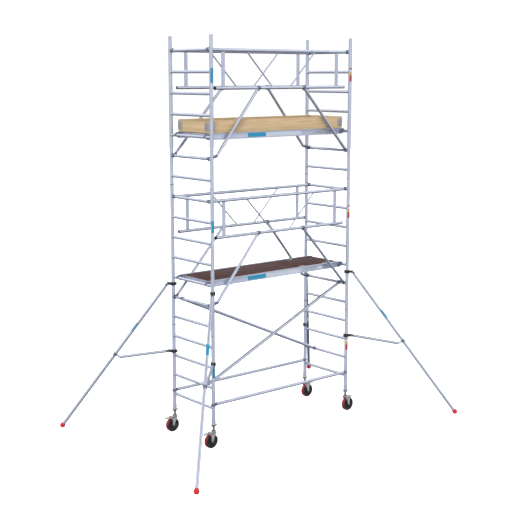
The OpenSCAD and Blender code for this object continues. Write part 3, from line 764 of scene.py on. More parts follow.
@dataclass(frozen=True)
class FrameTrim:
    """Weld beads, labels and pin clips of the two ladder sides."""

    bead_r: float = 0.0028
    bead_steps: int = 20
    label_gap: float = 0.0004
    label_t: float = 0.0004
    blue_labels: tuple[tuple[float, float], ...] = ((4.888, 5.077), (2.946, 3.104), (0.980, 1.160))
    strips: tuple[tuple[float, float], ...] = ((4.712, 4.866), (2.762, 2.924), (0.790, 0.958))
    warning_tops: tuple[float, ...] = (5.087, 3.119, 1.135)
    blue_reach: float = 62.0
    strip_reach: float = 34.0
    warning_reach: float = 58.0

    def saddle(self) -> Piece:
        """One fillet bead round the end of a rung that meets a post on the Y axis."""
        ring = TOWER.rung_r + self.bead_r * 0.4
        piece = Bench.primitive(
            "torus", major_radius=ring, minor_radius=self.bead_r, major_segments=self.bead_steps,
            minor_segments=6, rotation=(math.pi / 2, 0, 0))
        with Bench.editing(piece, "VERT"):
            for step in range(self.bead_steps // 4 + 1):
                angle = math.tau * step / self.bead_steps
                across = ring * math.cos(angle)
                sag = math.sqrt(max(TOWER.post_r**2 - across**2, 0)) - self.bead_r * 0.3

                def on_step(p: Vector, wanted: float = angle) -> bool:
                    """Whether a point belongs to this step of the ring."""
                    return abs(math.atan2(abs(p.z), abs(p.x)) - wanted) < 1e-3

                Bench.pick_points(piece, on_step)
                bpy.ops.transform.translate(value=(0, -sag, 0))
        return piece

    def beads(self) -> None:
        """The beads of all rungs, one piece for each side."""
        for side, sx in (("left", -1), ("right", 1)):
            places = []
            for k in range(1, TOWER.rungs + 1):
                for end in (0, 180):
                    at = shift(sx * TOWER.half_length, 0, TOWER.rung_z(k))
                    places.append(at @ turn("Z", end) @ shift(0, TOWER.half_width, 0))
            piece = Bench.repeat(self.saddle(), places)
            Bench.finish(piece, f"rung_weld_beads_{side}", Shop.bead, smooth=60)

    def wrapped(self, corner: Corner, low: float, high: float, half_angle: float) -> Piece:
        """A label wrapped round the front of a post.

        Args:
            corner: The post's corner.
            low: Height of the lower edge.
            high: Height of the upper edge.
            half_angle: How far the label reaches to each side, in degrees.

        Returns:
            The label.
        """
        foot = TOWER.post(corner)
        r = TOWER.post_r + self.label_gap
        piece = Bench.rod(foot + Vector((0, 0, low)), foot + Vector((0, 0, high)), r, 72, open_ends=True)
        with Bench.editing(piece, "VERT"):
            cut = foot + Vector((0, -r * math.cos(math.radians(half_angle)), 0))
            bpy.ops.mesh.bisect(plane_co=cut, plane_no=(0, 1, 0), clear_outer=True)
        Bench.modify(piece, "SOLIDIFY", {"thickness": self.label_t, "offset": 1})
        return piece

    def labels(self) -> None:
        """Plain colour labels on the two front posts."""
        left, right = Corner.FRONT_LEFT, Corner.FRONT_RIGHT
        panels = Bench.join([self.wrapped(left, low, high, self.blue_reach) for low, high in self.blue_labels])
        Bench.finish(panels, "post_labels_blue", Shop.blue)
        strips = Bench.join([self.wrapped(left, low, high, self.strip_reach) for low, high in self.strips])
        Bench.finish(strips, "post_labels_strip", Shop.pale)
        bands = (("patch", Shop.red, 0.000, 0.022), ("white", Shop.pale, 0.024, 0.058),
                 ("amber", Shop.amber, 0.060, 0.100), ("red", Shop.red, 0.102, 0.190))
        for name, finish, start, end in bands:
            parts = [self.wrapped(right, top - end, top - start, self.warning_reach)
                     for top in self.warning_tops]
            Bench.finish(Bench.join(parts), f"post_warning_{name}", finish)

    def clips(self) -> None:
        """Locking pins with their spring clips."""
        Bench.rounded("frame_locking_pins", "frame_joint_clips", Shop.clamp, 0.0007)

    def build(self) -> None:
        """Builds all trim of the frames."""
        self.beads()
        self.labels()
        self.clips()


# ------------------------------------------------------------------ guard frames and braces


@dataclass(frozen=True)
class GuardTrim:
    """Plugs, brackets and claws of the guard frames and braces."""

    plane_y: float = 0.39
    drop: float = 0.49
    plug_x: float = 1.14
    leg_x: float = 0.41
    leg_r: float = 0.020
    top_rungs: tuple[int, ...] = (11, 18)
    wall: float = 0.0035
    bracket_w: float = 0.046

    def plug(self) -> Piece:
        """A ribbed end plug on the Z axis, its flange at z 0 and its nose upwards."""
        r = TOWER.rail_r
        nose = arc((0, 0.010), r - 0.002, 8, 90, 7)
        profile = [(0, -0.012), (r - 0.0045, -0.012), (r - 0.0045, 0), (r + 0.0022, 0),
                   (r + 0.0030, 0.0012), (r + 0.0030, 0.0058), (r + 0.0018, 0.0072),
                   (r - 0.0010, 0.0080), *nose[:-1], (0, nose[-1][1])]
        return Bench.spun(profile, 32)

    def plugs(self) -> None:
        """The plugs in the free ends of the four bottom rails."""
        places = []
        for rung in self.top_rungs:
            z = TOWER.rung_z(rung) - self.drop
            for half in (0, 180):
                at = shift(-self.plug_x, -self.plane_y, z)
                places.append(turn("Z", half) @ at @ turn("Y", -90))
        Bench.finish(Bench.repeat(self.plug(), places), "guard_rail_end_plugs", Shop.plug)

    def bracket(self) -> Piece:
        """A clamp half-shell that ties a leg to the bottom rail, with its bolt, at the origin."""
        r = TOWER.rail_r
        shell = [(r + 0.0004, -self.bracket_w / 2), (r + self.wall, -self.bracket_w / 2),
                 (r + self.wall + 0.0012, -self.bracket_w / 2 + 0.003),
                 (r + self.wall + 0.0012, self.bracket_w / 2 - 0.003),
                 (r + self.wall, self.bracket_w / 2), (r + 0.0004, self.bracket_w / 2)]
        ring = Bench.moved(Bench.spun(shell, 32, closed=True), turn("Y", 90))
        lug = Bench.block((-0.016, -0.009, -r - 0.021), (0.016, 0.009, -r - 0.001), 0.002, 3)
        bolt = Bench.rod(Vector((0, -0.015, -r - 0.012)), Vector((0, 0.015, -r - 0.012)), 0.0062, 6, 0.0008)
        return Bench.join([ring, lug, bolt])

    def brackets(self) -> None:
        """Two brackets on each bottom rail."""
        places = []
        for rung in self.top_rungs:
            z = TOWER.rung_z(rung) - self.drop
            for half in (0, 180):
                for x in (-self.leg_x, self.leg_x):
                    places.append(turn("Z", half) @ shift(x, -self.plane_y, z))
        Bench.finish(Bench.repeat(self.bracket(), places), "guard_leg_brackets", Shop.casting)

    def claws(self) -> None:
        """The cast claws of guard frames and braces, their edges rounded."""
        for node in ("guard_claws", "brace_claws"):
            Bench.rounded(node, f"{node}_cast", Shop.casting, 0.0012)

    def build(self) -> None:
        """Builds all trim of the guard frames and braces."""
        self.plugs()
        self.brackets()
        self.claws()


# ------------------------------------------------------------------ platforms


@dataclass(frozen=True)
class Platform:
    """One platform: extruded side beams, boards and hatch."""

    level: Level
    half_l: float = 1.204
    half_w: float = 0.340
    beam_t: float = 0.032
    beam_h: float = 0.086
    beam_up: float = 0.046
    deck_up: float = 0.040
    web_in: float = 0.0035
    lip: float = 0.012
    deck_t: float = 0.012
    hatch_x: tuple[float, float] = (0.37, 1.07)
    hinge_x: tuple[float, ...] = (0.49, 0.95)
    hinge_y: float = -0.298
    cross_x: tuple[float, ...] = (-1.184, -0.70, -0.18, 0.3685, 1.0715, 1.184)
    screw_r: float = 0.0045
    screw_y: tuple[float, ...] = (-0.27, -0.135, 0.0, 0.135, 0.27)
    screw_in: float = 0.02
    leaf_t: float = 0.004
    leaf_screw_x: tuple[float, ...] = (-0.015, 0.015)
    leaf_screw_y: tuple[float, ...] = (0.026, 0.048)
    pull_y: float = 0.235
    panel_gap: float = 0.004
    edge: float = 0.0009

    @property
    def rung(self) -> float:
        """Height of the rung that carries the platform."""
        return TOWER.rung_z(self.level.value)

    @property
    def name(self) -> str:
        """First words of the names of its pieces."""
        return f"platform_{self.level.word}"

    @property
    def panels(self) -> tuple[tuple[str, Finish, float, float], ...]:
        """Labels on the front beam: name, finish, first and last X."""
        if self.level is Level.LOWER:
            return (("blue", Shop.blue, -0.552, -0.227), ("pale", Shop.pale, -0.223, 0.432),
                    ("sticker", Shop.pale, 0.746, 0.846))
        return (("blue", Shop.blue, -0.548, -0.230), ("pale", Shop.pale, -0.226, 0.413),
                ("sticker", Shop.grey, 0.700, 1.000))

    def beam(self, side: int) -> Piece:
        """One side beam: a box extrusion with lips above and below a recessed web.

        Args:
            side: -1 for the front beam, 1 for the back beam.

        Returns:
            The beam.
        """
        t, h, d = self.beam_t, self.beam_h, self.web_in
        outline = [(0, 0), (t, 0), (t, self.lip), (t - d, self.lip + 0.003), (t - d, h - self.lip - 0.003),
                   (t, h - self.lip), (t, h - 0.0035), (t - 0.003, h), (t - 0.010, h), (t - 0.0115, h - 0.0015),
                   (t - 0.0205, h - 0.0015), (t - 0.022, h), (0, h)]
        piece = Bench.plate(outline, 2 * self.half_l, 0.0006)
        lay = Matrix(((0, 0, 1, -self.half_l), (1, 0, 0, 0), (0, 1, 0, 0), (0, 0, 0, 1)))
        piece = Bench.moved(piece, lay)
        low = Vector((0, self.half_w - t, self.rung + self.beam_up - h))
        place = Matrix.Translation(low)
        return Bench.moved(piece, (turn("Z", 180) @ place) if side < 0 else place)

    def frame_pieces(self) -> None:
        """Side beams and cross members."""
        parts = Bench.split_copy(
            f"{self.name}_frame", lambda low, high: "beam" if high.x - low.x > 1 else "cross")
        Bench.drop(parts["beam"])
        Bench.bevel(parts["cross"], 0.0012)
        Bench.finish(parts["cross"], f"{self.name}_cross_members", Shop.profile)
        beams = Bench.join([self.beam(-1), self.beam(1)])
        Bench.finish(beams, f"{self.name}_side_beams", Shop.profile, stands_for=[f"{self.name}_frame"])

    def end_trims(self) -> None:
        """Grooved aluminium strips over the boards' edges at both ends."""
        long = self.half_w - self.beam_t - 0.003
        low = self.rung + self.deck_up - self.deck_t - 0.0002
        outline = [(0.0001, 0), (0.0016, 0), (0.0016, 0.004), (0.0010, 0.0048), (0.0010, 0.0072),
                   (0.0016, 0.008), (0.0016, 0.0116), (0.0012, 0.0120), (0.0001, 0.0120)]
        lay = Matrix(((1, 0, 0, self.half_l), (0, 0, -1, long), (0, 1, 0, low), (0, 0, 0, 1)))
        strip = Bench.moved(Bench.plate(outline, 2 * long, 0.0001), lay)
        strips = Bench.repeat(strip, [Matrix.Identity(4), turn("Z", 180)])
        Bench.finish(strips, f"{self.name}_end_trims", Shop.profile)

    def beam_labels(self) -> None:
        """Plain panels in the recess of the front beam."""
        face = -self.half_w + self.web_in
        low = self.rung + self.beam_up - self.beam_h + self.lip + self.panel_gap
        high = self.rung + self.beam_up - self.lip - self.panel_gap
        for name, finish, x0, x1 in self.panels:
            inset = 0.006 if name == "sticker" else 0.0
            panel = Bench.block(
                (x0, face - 0.0009, low + inset), (x1, face - 0.0001, high - inset), 0.0003, 1)
            Bench.finish(panel, f"{self.name}_panel_{name}", finish)

    def screw(self) -> Piece:
        """A countersunk screw head with a round recess, its top at z 0.0008."""
        r = self.screw_r
        head = Bench.spun([(0, -0.001), (r, -0.001), (r, 0.0004), (r - 0.0012, 0.0008), (0, 0.0008)], 16)
        with Bench.editing(head):
            Bench.pick_faces(head, lambda c, n: n.z > 0.95 and c.xy.length < r * 0.7)
            bpy.ops.mesh.inset(thickness=r * 0.35, depth=-0.0004)
        return head

    def deck(self) -> None:
        """Boards with their screws, and the hatch's hinge pins."""
        parts = Bench.split_copy(
            f"{self.name}_deck", lambda low, high: "boards" if high.y - low.y > 0.3 else "pins")
        for part in parts.values():
            Bench.bevel(part, self.edge)
        Bench.finish(parts["boards"], f"{self.name}_boards", Shop.deck, stands_for=[f"{self.name}_deck"])
        Bench.finish(parts["pins"], f"{self.name}_hinge_pins", Shop.zinc)
        top = self.rung + self.deck_up
        limit = self.half_l - self.screw_in
        rows = [x for x in self.cross_x if not self.hatch_x[0] <= x <= self.hatch_x[1]]
        rows = [min(max(x, -limit), limit) for x in rows]
        spots = [(x, y) for x in rows for y in self.screw_y]
        places = [shift(x, y, top) for x, y in spots]
        Bench.finish(Bench.repeat(self.screw(), places), f"{self.name}_deck_screws", Shop.screw)

    def hatch(self) -> None:
        """Lid with hinge leaves, screws and a ring pull."""
        body = f"hatch_{self.level.word}"
        node = f"{self.name}_hatch"
        parts = Bench.split_copy(node, lambda low, high: "lid" if high.x - low.x > 0.3 else "hinges")
        for part in parts.values():
            Bench.bevel(part, self.edge)
        Bench.finish(parts["lid"], f"{node}_lid", Shop.deck, body, stands_for=[node])
        Bench.finish(parts["hinges"], f"{node}_hinges", Shop.zinc, body)
        top = self.rung + self.deck_up
        spots = [(x + dx, self.hinge_y + dy, top + self.leaf_t) for x in self.hinge_x
                 for dx in self.leaf_screw_x for dy in self.leaf_screw_y]
        places = [shift(*p) for p in spots]
        Bench.finish(Bench.repeat(self.screw(), places), f"{node}_screws", Shop.screw, body)
        self.ring_pull(node, body, top)

    def ring_pull(self, node: str, body: str, top: float) -> None:
        """A recessed pull near the hatch's free edge.

        Args:
            node: First words of the piece's name.
            body: The hatch's body.
            top: Height of the hatch's face.
        """
        middle = Vector((sum(self.hatch_x) / 2, self.pull_y, top))
        plate = Bench.plate([*arc((0.032, 0), 0.022, -90, 90, 10), *arc((-0.032, 0), 0.022, 90, 270, 10)],
                            0.0022, 0.0007)
        with Bench.editing(plate):
            Bench.pick_faces(plate, lambda c, n: n.z > 0.95 and c.z > 0.0015)
            bpy.ops.mesh.inset(thickness=0.006, depth=-0.0012)
        ring = Bench.primitive("torus", major_radius=0.012, minor_radius=0.0022, major_segments=28,
                               minor_segments=8, location=(0.012, 0, 0.0026))
        with Bench.editing(ring, "VERT"):
            bpy.ops.transform.resize(value=(1.5, 1.0, 0.8), center_override=(0.012, 0, 0.0026))
        piece = Bench.moved(Bench.join([plate, ring]), Matrix.Translation(middle))
        Bench.finish(piece, f"{node}_ring_pull", Shop.zinc, body)

    def build(self) -> None:
        """Builds the platform."""
        self.frame_pieces()
        self.end_trims()
        self.beam_labels()
        self.deck()
        self.hatch()


@dataclass(frozen=True)
class PlatformEnds:
    """Hooks of both platforms, and the toe-boards with their clips."""

    clip_x: float = 1.2083
    clip_y: float = 0.3403
    clip_z: tuple[float, float] = (4.275, 4.36)
    screw_r: float = 0.0065
    screw_back: tuple[float, ...] = (0.025, 0.068)

    def hooks(self) -> None:
        """The cast hooks and their wind catches."""
        Bench.rounded("platform_hooks", "platform_hooks_cast", Shop.casting, 0.0012)

    def boards(self) -> None:
        """Long and short toe-boards with rounded edges."""
        parts = Bench.split_copy(
            "toe_boards", lambda low, high: "along" if high.x - low.x > 1 else "across")
        for part in parts.values():
            Bench.bevel(part, 0.003, 3)
        Bench.finish(parts["along"], "toe_boards_long", Shop.board_x, stands_for=["toe_boards"])
        Bench.finish(parts["across"], "toe_boards_short", Shop.board_y)

    def clips(self) -> None:
        """Corner clips with round-headed screws."""
        Bench.rounded("toe_board_clips", "toe_board_corner_clips", Shop.zinc, 0.0009)
        r = self.screw_r
        head = Bench.spun([(0, -0.001), (r, -0.001), (r, 0.0005), *arc((0, -0.0005), r, 22, 84, 4)[1:],
                           (0, r - 0.0005)], 20)
        head = Bench.moved(head, Matrix.Scale(0.6, 4, (0, 0, 1)))
        places = []
        for sx in (-1, 1):
            for sy in (-1, 1):
                for z in self.clip_z:
                    for back in self.screw_back:
                        front = Vector((sx * (self.clip_x - back), sy * (self.clip_y + 0.003), z))
                        end = Vector((sx * (self.clip_x + 0.0035), sy * (self.clip_y - back), z))
                        places.append(Matrix.Translation(front) @ turn("X", -90 * sy))
                        places.append(Matrix.Translation(end) @ turn("Y", 90 * sx))
        Bench.finish(Bench.repeat(head, places), "toe_board_clip_screws", Shop.screw)

    def build(self) -> None:
        """Builds hooks, boards and clips."""
        self.hooks()
        self.boards()
        self.clips()


# ------------------------------------------------------------------ castors


@dataclass(frozen=True)
class Castor:
    """A braked castor on a threaded spindle, modelled once with its swivel axis on Z."""

    trail: float = 0.045
    axle_z: float = 0.100
    axle_r: float = 0.006
    wheel_r: float = 0.100
    hub_r: float = 0.080
    rim_r: float = 0.0925
    wheel_w: float = 0.050
    fork_in: float = 0.030
    cheek_t: float = 0.005
    crown_z: float = 0.212
    crown_t: float = 0.008
    swivel_z: float = 0.236
    head_r: float = 0.031
    spindle_r: float = 0.0175
    spindle_top: float = 0.700
    pitch: float = 0.006
    flange_r: float = 0.027
    nut_z: tuple[float, float] = (0.2977, 0.3197)
    collar_r: float = 0.0300
    bore_r: float = 0.0257
    brake_x: float = 0.083
    brake_z: float = 0.206
    pedal_reach: float = 0.092
    pedal_half: float = 0.029
    spokes: int = 9
    collar_h: float = 0.070
    bolt_across: float = 0.0175
    bolt_h: float = 0.0068

    def on_axle(self, piece: Piece) -> Piece:
        """Turns a piece spun about Z onto the axle."""
        place = shift(-self.trail, 0, self.axle_z)
        return Bench.moved(piece, place @ turn("X", 90))

    def tyre(self) -> Piece:
        """A cast tyre with rounded shoulders and a flat tread, let in behind the core's rims."""
        r, w, hub, rim = self.wheel_r, self.wheel_w / 2, self.hub_r + 0.0001, self.rim_r + 0.0001
        side = [(hub, w - 0.0032), (rim - 0.0005, w - 0.0032), (rim, w - 0.0028), (rim, w - 0.0006),
                (rim + 0.0004, w - 0.0001)]
        shoulder = arc((r - 0.0062, w - 0.0062), 0.0062, 80, 12, 5)
        tread = [(r, 0.010), (r, 0.0)]
        half = side + shoulder + tread
        profile = half[:-1] + [(a, -b) for a, b in reversed(half)]
        return self.on_axle(Bench.spun(profile, 72, closed=True))

    def core(self) -> Piece:
        """A ribbed core with a dished web, a rim and a boss with a bearing seal."""
        out, rim, web = self.fork_in - 0.0006, self.wheel_w / 2 - 0.002, 0.012
        half = [(self.axle_r + 0.0001, out), (0.0105, out), (0.0108, out - 0.0016), (0.0140, out - 0.0016),
                (0.0143, out), (0.0190, out - 0.0004), (0.0205, out - 0.003), (0.0225, web + 0.005),
                (0.0270, web), (0.0640, web - 0.001), (0.0705, web + 0.001), (0.0740, rim - 0.002),
                (0.0755, rim - 0.0002), (0.0790, rim + 0.0004), (0.0810, rim - 0.0003),
                (self.rim_r - 0.0014, rim + 0.0016), (self.rim_r, rim + 0.0008),
                (self.rim_r, self.wheel_w / 2 - 0.0029), (self.hub_r, self.wheel_w / 2 - 0.0031)]
        profile = half + [(a, -b) for a, b in reversed(half)]
        disc = Bench.spun(profile, 72, closed=True)
        ribs = []
        for side in (-1, 1):
            rib = Bench.plate([(0.0195, 0.004), (0.0750, 0.004), (0.0750, rim - 0.0035),
                               (0.0450, web + 0.0065), (0.0260, out - 0.006), (0.0195, out - 0.004)],
                              0.0044, 0.0012)
            rib = Bench.moved(rib, shift(0, 0.0022, 0) @ turn("X", 90))
            if side < 0:
                rib = Bench.moved(rib, turn("X", 180))
            places = [turn("Z", 360 * i / self.spokes) for i in range(self.spokes)]
            ribs.append(Bench.repeat(rib, places))
        return self.on_axle(Bench.join([disc, *ribs]))

    def cheek_outline(self) -> list[tuple[float, float]]:
        """Side view of a fork cheek, as (x, z)."""
        top = self.crown_z + self.crown_t
        ear = arc((-self.brake_x, self.brake_z), 0.0105, 110, 250, 7)
        toe = arc((-self.trail, self.axle_z), 0.0165, 190, 345, 10)
        return [(0.024, top), (-self.brake_x + 0.012, top), *ear,
                (-self.trail - 0.0235, self.crown_z - 0.028), (-self.trail - 0.0175, self.axle_z + 0.026),
                *toe, (-0.016, self.axle_z + 0.040), (0.004, self.crown_z - 0.032),
                (0.022, self.crown_z - 0.008)]

    def cheek(self, side: int) -> Piece:
        """One pressed cheek with a shallow swage."""
        piece = Bench.plate([(x, -z) for x, z in self.cheek_outline()], self.cheek_t, 0.0014, 3)
        piece = Bench.moved(piece, turn("X", -90))
        with Bench.editing(piece):
            Bench.pick_faces(piece, lambda c, n: n.y * side > 0.98)
            bpy.ops.mesh.inset(thickness=0.0062)
            bpy.ops.mesh.inset(thickness=0.0016, depth=-0.0010)
        y = self.fork_in if side > 0 else -self.fork_in - self.cheek_t
        return Bench.moved(piece, shift(0, y, 0))

    def hexagon(self, across: float, length: float) -> Piece:
        """A bolt head or nut on Z from 0 to its length, its outer rim chamfered and dished."""
        r = across / math.sqrt(3)
        piece = Bench.rod(Vector((0, 0, 0)), Vector((0, 0, length)), r, 6, 0.0)
        with Bench.editing(piece):
            Bench.pick_faces(piece, lambda c, n: n.z > 0.9)
            bpy.ops.mesh.inset(thickness=0.0010)
            bpy.ops.transform.translate(value=(0, 0, 0.0007))
            bpy.ops.mesh.inset(thickness=0.0016)
            bpy.ops.mesh.inset(thickness=0.0004, depth=-0.0004)
        Bench.bevel(piece, 0.0005, 2, 40)
        return piece

    def fork(self) -> Piece:
        """Crown, cheeks, swivel head with its race, axle bolt and pedal pin."""
        y = self.fork_in + self.cheek_t - 0.001
        crown = Bench.block((-self.brake_x + 0.014, -y, self.crown_z), (0.028, y, self.crown_z + self.crown_t),
                            0.0016, 3)
        z, r = self.crown_z, self.head_r
        head = Bench.spun([(0.0081, z - 0.001), (r, z + 0.004), (r, z + 0.0150), (r - 0.0012, z + 0.0162),
                           (r - 0.0030, z + 0.0168), (r - 0.0030, z + 0.0182), (r - 0.0012, z + 0.0188),
                           (r, z + 0.0200), (r, z + 0.0232), (r - 0.0010, z + 0.0240), (0.0081, z + 0.0240)],
                          48, closed=True)
        cheeks = [self.cheek(-1), self.cheek(1)]
        shaft = Bench.rod(Vector((0, 0, -y - 0.010)), Vector((0, 0, y + 0.012)),
                          self.axle_r - 0.0002, 24, 0.0008)
        washers = [Bench.spun([(0.006, s * (y + 0.0009)), (0.0125, s * (y + 0.0009)),
                               (0.0125, s * (y + 0.0024)), (0.006, s * (y + 0.0024))], 32, closed=True)
                   for s in (-1, 1)]
        bolt = Bench.moved(self.hexagon(self.bolt_across, self.bolt_h), shift(0, 0, y + 0.0024))
        nut = Bench.moved(self.hexagon(self.bolt_across, self.bolt_h),
                          turn("X", 180) @ shift(0, 0, y + 0.0024))
        axle = self.on_axle(Bench.join([shaft, *washers, bolt, nut]))
        reach = self.fork_in + self.cheek_t + 0.002
        pin = Bench.rod(Vector((-self.brake_x, -reach, self.brake_z)),
                        Vector((-self.brake_x, reach, self.brake_z)), 0.0040, 24, 0.0010)
        return Bench.join([crown, head, *cheeks, axle, pin])

    def spindle(self) -> Piece:
        """A rolled round thread, a round flange and the kingpin."""
        root, crest, p = self.spindle_r - 0.0016, self.spindle_r, self.pitch
        start = self.swivel_z + 0.006
        turns = int((self.spindle_top - start) / p) + 2
        chain = [(root, 0.0), (root + 0.0003, p * 0.14), (crest - 0.0003, p * 0.36), (crest, p * 0.5),
                 (crest - 0.0003, p * 0.64), (root + 0.0003, p * 0.86), (root, p)]
        thread = Bench.outline([(r, 0, start - p + z) for r, z in chain], False)
        Bench.modify(thread, "SCREW", {
            "axis": "Z", "steps": 24, "render_steps": 24, "screw_offset": p, "iterations": turns,
            "use_merge_vertices": True, "merge_threshold": 0.00002, "use_normal_calculate": True,
            "use_smooth_shade": True})
        with Bench.editing(thread, "VERT"):
            bpy.ops.mesh.remove_doubles(threshold=0.00003)
            bpy.ops.mesh.bisect(plane_co=(0, 0, start), plane_no=(0, 0, -1), clear_outer=True, use_fill=True)
            bpy.ops.mesh.select_all(action="SELECT")
            bpy.ops.mesh.bisect(plane_co=(0, 0, self.spindle_top), plane_no=(0, 0, 1), clear_outer=True,
                                use_fill=True)
            bpy.ops.mesh.select_all(action="SELECT")
            bpy.ops.mesh.normals_make_consistent(inside=False)
        z, r = self.swivel_z, self.flange_r
        flange = Bench.spun([(0, z + 0.0003), (r - 0.001, z + 0.0003), (r, z + 0.0013), (r, z + 0.0060),
                             (r - 0.0020, z + 0.0077), (0.0190, z + 0.0077), (0.0180, z + 0.0110),
                             (0, z + 0.0110)], 48)
        low = self.crown_z - 0.009
        king = Bench.spun([(0, low), (0.0100, low), (0.0110, low + 0.001), (0.0110, low + 0.0080),
                           (0.0080, low + 0.0082), (0.0080, z + 0.001), (0, z + 0.001)], 32)
        return Bench.join([thread, flange, king])

    def collar(self) -> Piece:
        """The nut's aluminium collar round the end of the post."""
        high, top, r, bore = self.nut_z[1], self.nut_z[1] + self.collar_h, self.collar_r, self.bore_r
        return Bench.spun([
            (r - 0.0016, high + 0.0001), (r - 0.0016, top - 0.0080), (r - 0.0002, top - 0.0065),
            (r - 0.0002, top - 0.0012), (r - 0.0014, top), (bore + 0.0006, top), (bore, top - 0.0008),
            (bore, high + 0.0001)], 48, closed=True)

    def nut(self) -> Piece:
        """The adjusting nut with two thin cast wings."""
        low, high = self.nut_z
        r, inner = self.collar_r, self.spindle_r + 0.0001
        body = Bench.spun([
            (inner, low + 0.001), (inner + 0.0012, low), (r - 0.0005, low), (r + 0.0010, low + 0.0018),
            (r + 0.0010, high - 0.0020), (r - 0.0004, high), (inner, high)], 48, closed=True)
        wing = Bench.plate([(0.0200, 0.002), (0.040, 0.002), (0.058, 0.008), (0.064, 0.0125),
                            *arc((0.0615, 0.0180), 0.0045, -40, 130, 6), (0.0520, 0.0180),
                            (0.0420, 0.0145), (0.0200, 0.0170)], 0.0090, 0.0024, 3)
        wing = Bench.moved(wing, shift(0, 0.0045, low) @ turn("X", 90))
        wings = Bench.repeat(wing, [turn("Z", 0), turn("Z", 180)])
        return Bench.join([body, wings])

    def pedal(self) -> Piece:
        """A pressed brake pedal with a rolled hinge and four tread ribs."""
        reach, half = self.pedal_reach, self.pedal_half
        shape = [(0.000, 0.0042), (-reach * 0.45, 0.0062), (-reach * 0.80, -0.0030), (-reach * 0.985, -0.0026),
                 (-reach, -0.0010), (-reach * 0.985, 0.0008), (-reach * 0.80, 0.0010),
                 (-reach * 0.45, 0.0100), (0.000, 0.0078)]
        tongue = Bench.plate([(x, -z) for x, z in shape], 2 * half, 0.0008)
        tongue = Bench.moved(tongue, turn("X", -90))
        tongue = Bench.moved(tongue, shift(0, -half, 0))
        with Bench.editing(tongue, "VERT"):
            Bench.pick_points(tongue, lambda p: p.x < -reach * 0.9)
            bpy.ops.transform.resize(value=(1, 0.80, 1), center_override=(-reach, 0, 0))
        ribs = []
        for share in (0.56, 0.66, 0.76, 0.86):
            x = -reach * share
            z = 0.0090 * (0.80 - share) / 0.35 if share < 0.80 else 0.0010
            ribs.append(Bench.block((x - 0.0016, -half * 0.62, z - 0.001),
                                    (x + 0.0016, half * 0.62, z + 0.0016), 0.0010, 2))
        roll = Bench.spun([(0.0041, -half), (0.0072, -half), (0.0080, -half + 0.0010), (0.0080, half - 0.0010),
                           (0.0072, half), (0.0041, half)], 32, closed=True)
        roll = Bench.moved(roll, turn("X", 90))
        piece = Bench.join([tongue, *ribs, roll])
        return Bench.moved(piece, shift(-self.brake_x, 0, self.brake_z))

    def build(self) -> None:
        """Builds the patterns once and sets them at the four corners."""
        patterns = {
            "tyre": (self.tyre(), Shop.tyre, "wheel", "tyre"),
            "core": (self.core(), Shop.core, "wheel", "wheel"),
            "forks": (self.fork(), Shop.zinc, "fork", "fork"),
            "screw": (self.spindle(), Shop.spindle, "spindle", "spindle"),
            "jack_nut": (self.nut(), Shop.cast_zinc, "nut", "nut"),
            "jack_collar": (self.collar(), Shop.profile, "nut", "nut"),
            "pedal": (self.pedal(), Shop.zinc, "brake", "brake"),
        }
        for corner in Corner:
            place = Matrix.Translation(TOWER.post(corner))
            if corner.value[0] > 0:
                place = place @ turn("Z", 180)
            for word, (pattern, finish, body, node) in patterns.items():
                first = f"castor_{corner.word}"
                Bench.finish(Bench.copy(pattern, place), f"{first}_{word}_piece", finish,
                             f"{first}_{body}", [f"{first}_{node}"])
        Bench.drop(*(pattern[0] for pattern in patterns.values()))


# ------------------------------------------------------------------ stabilisers


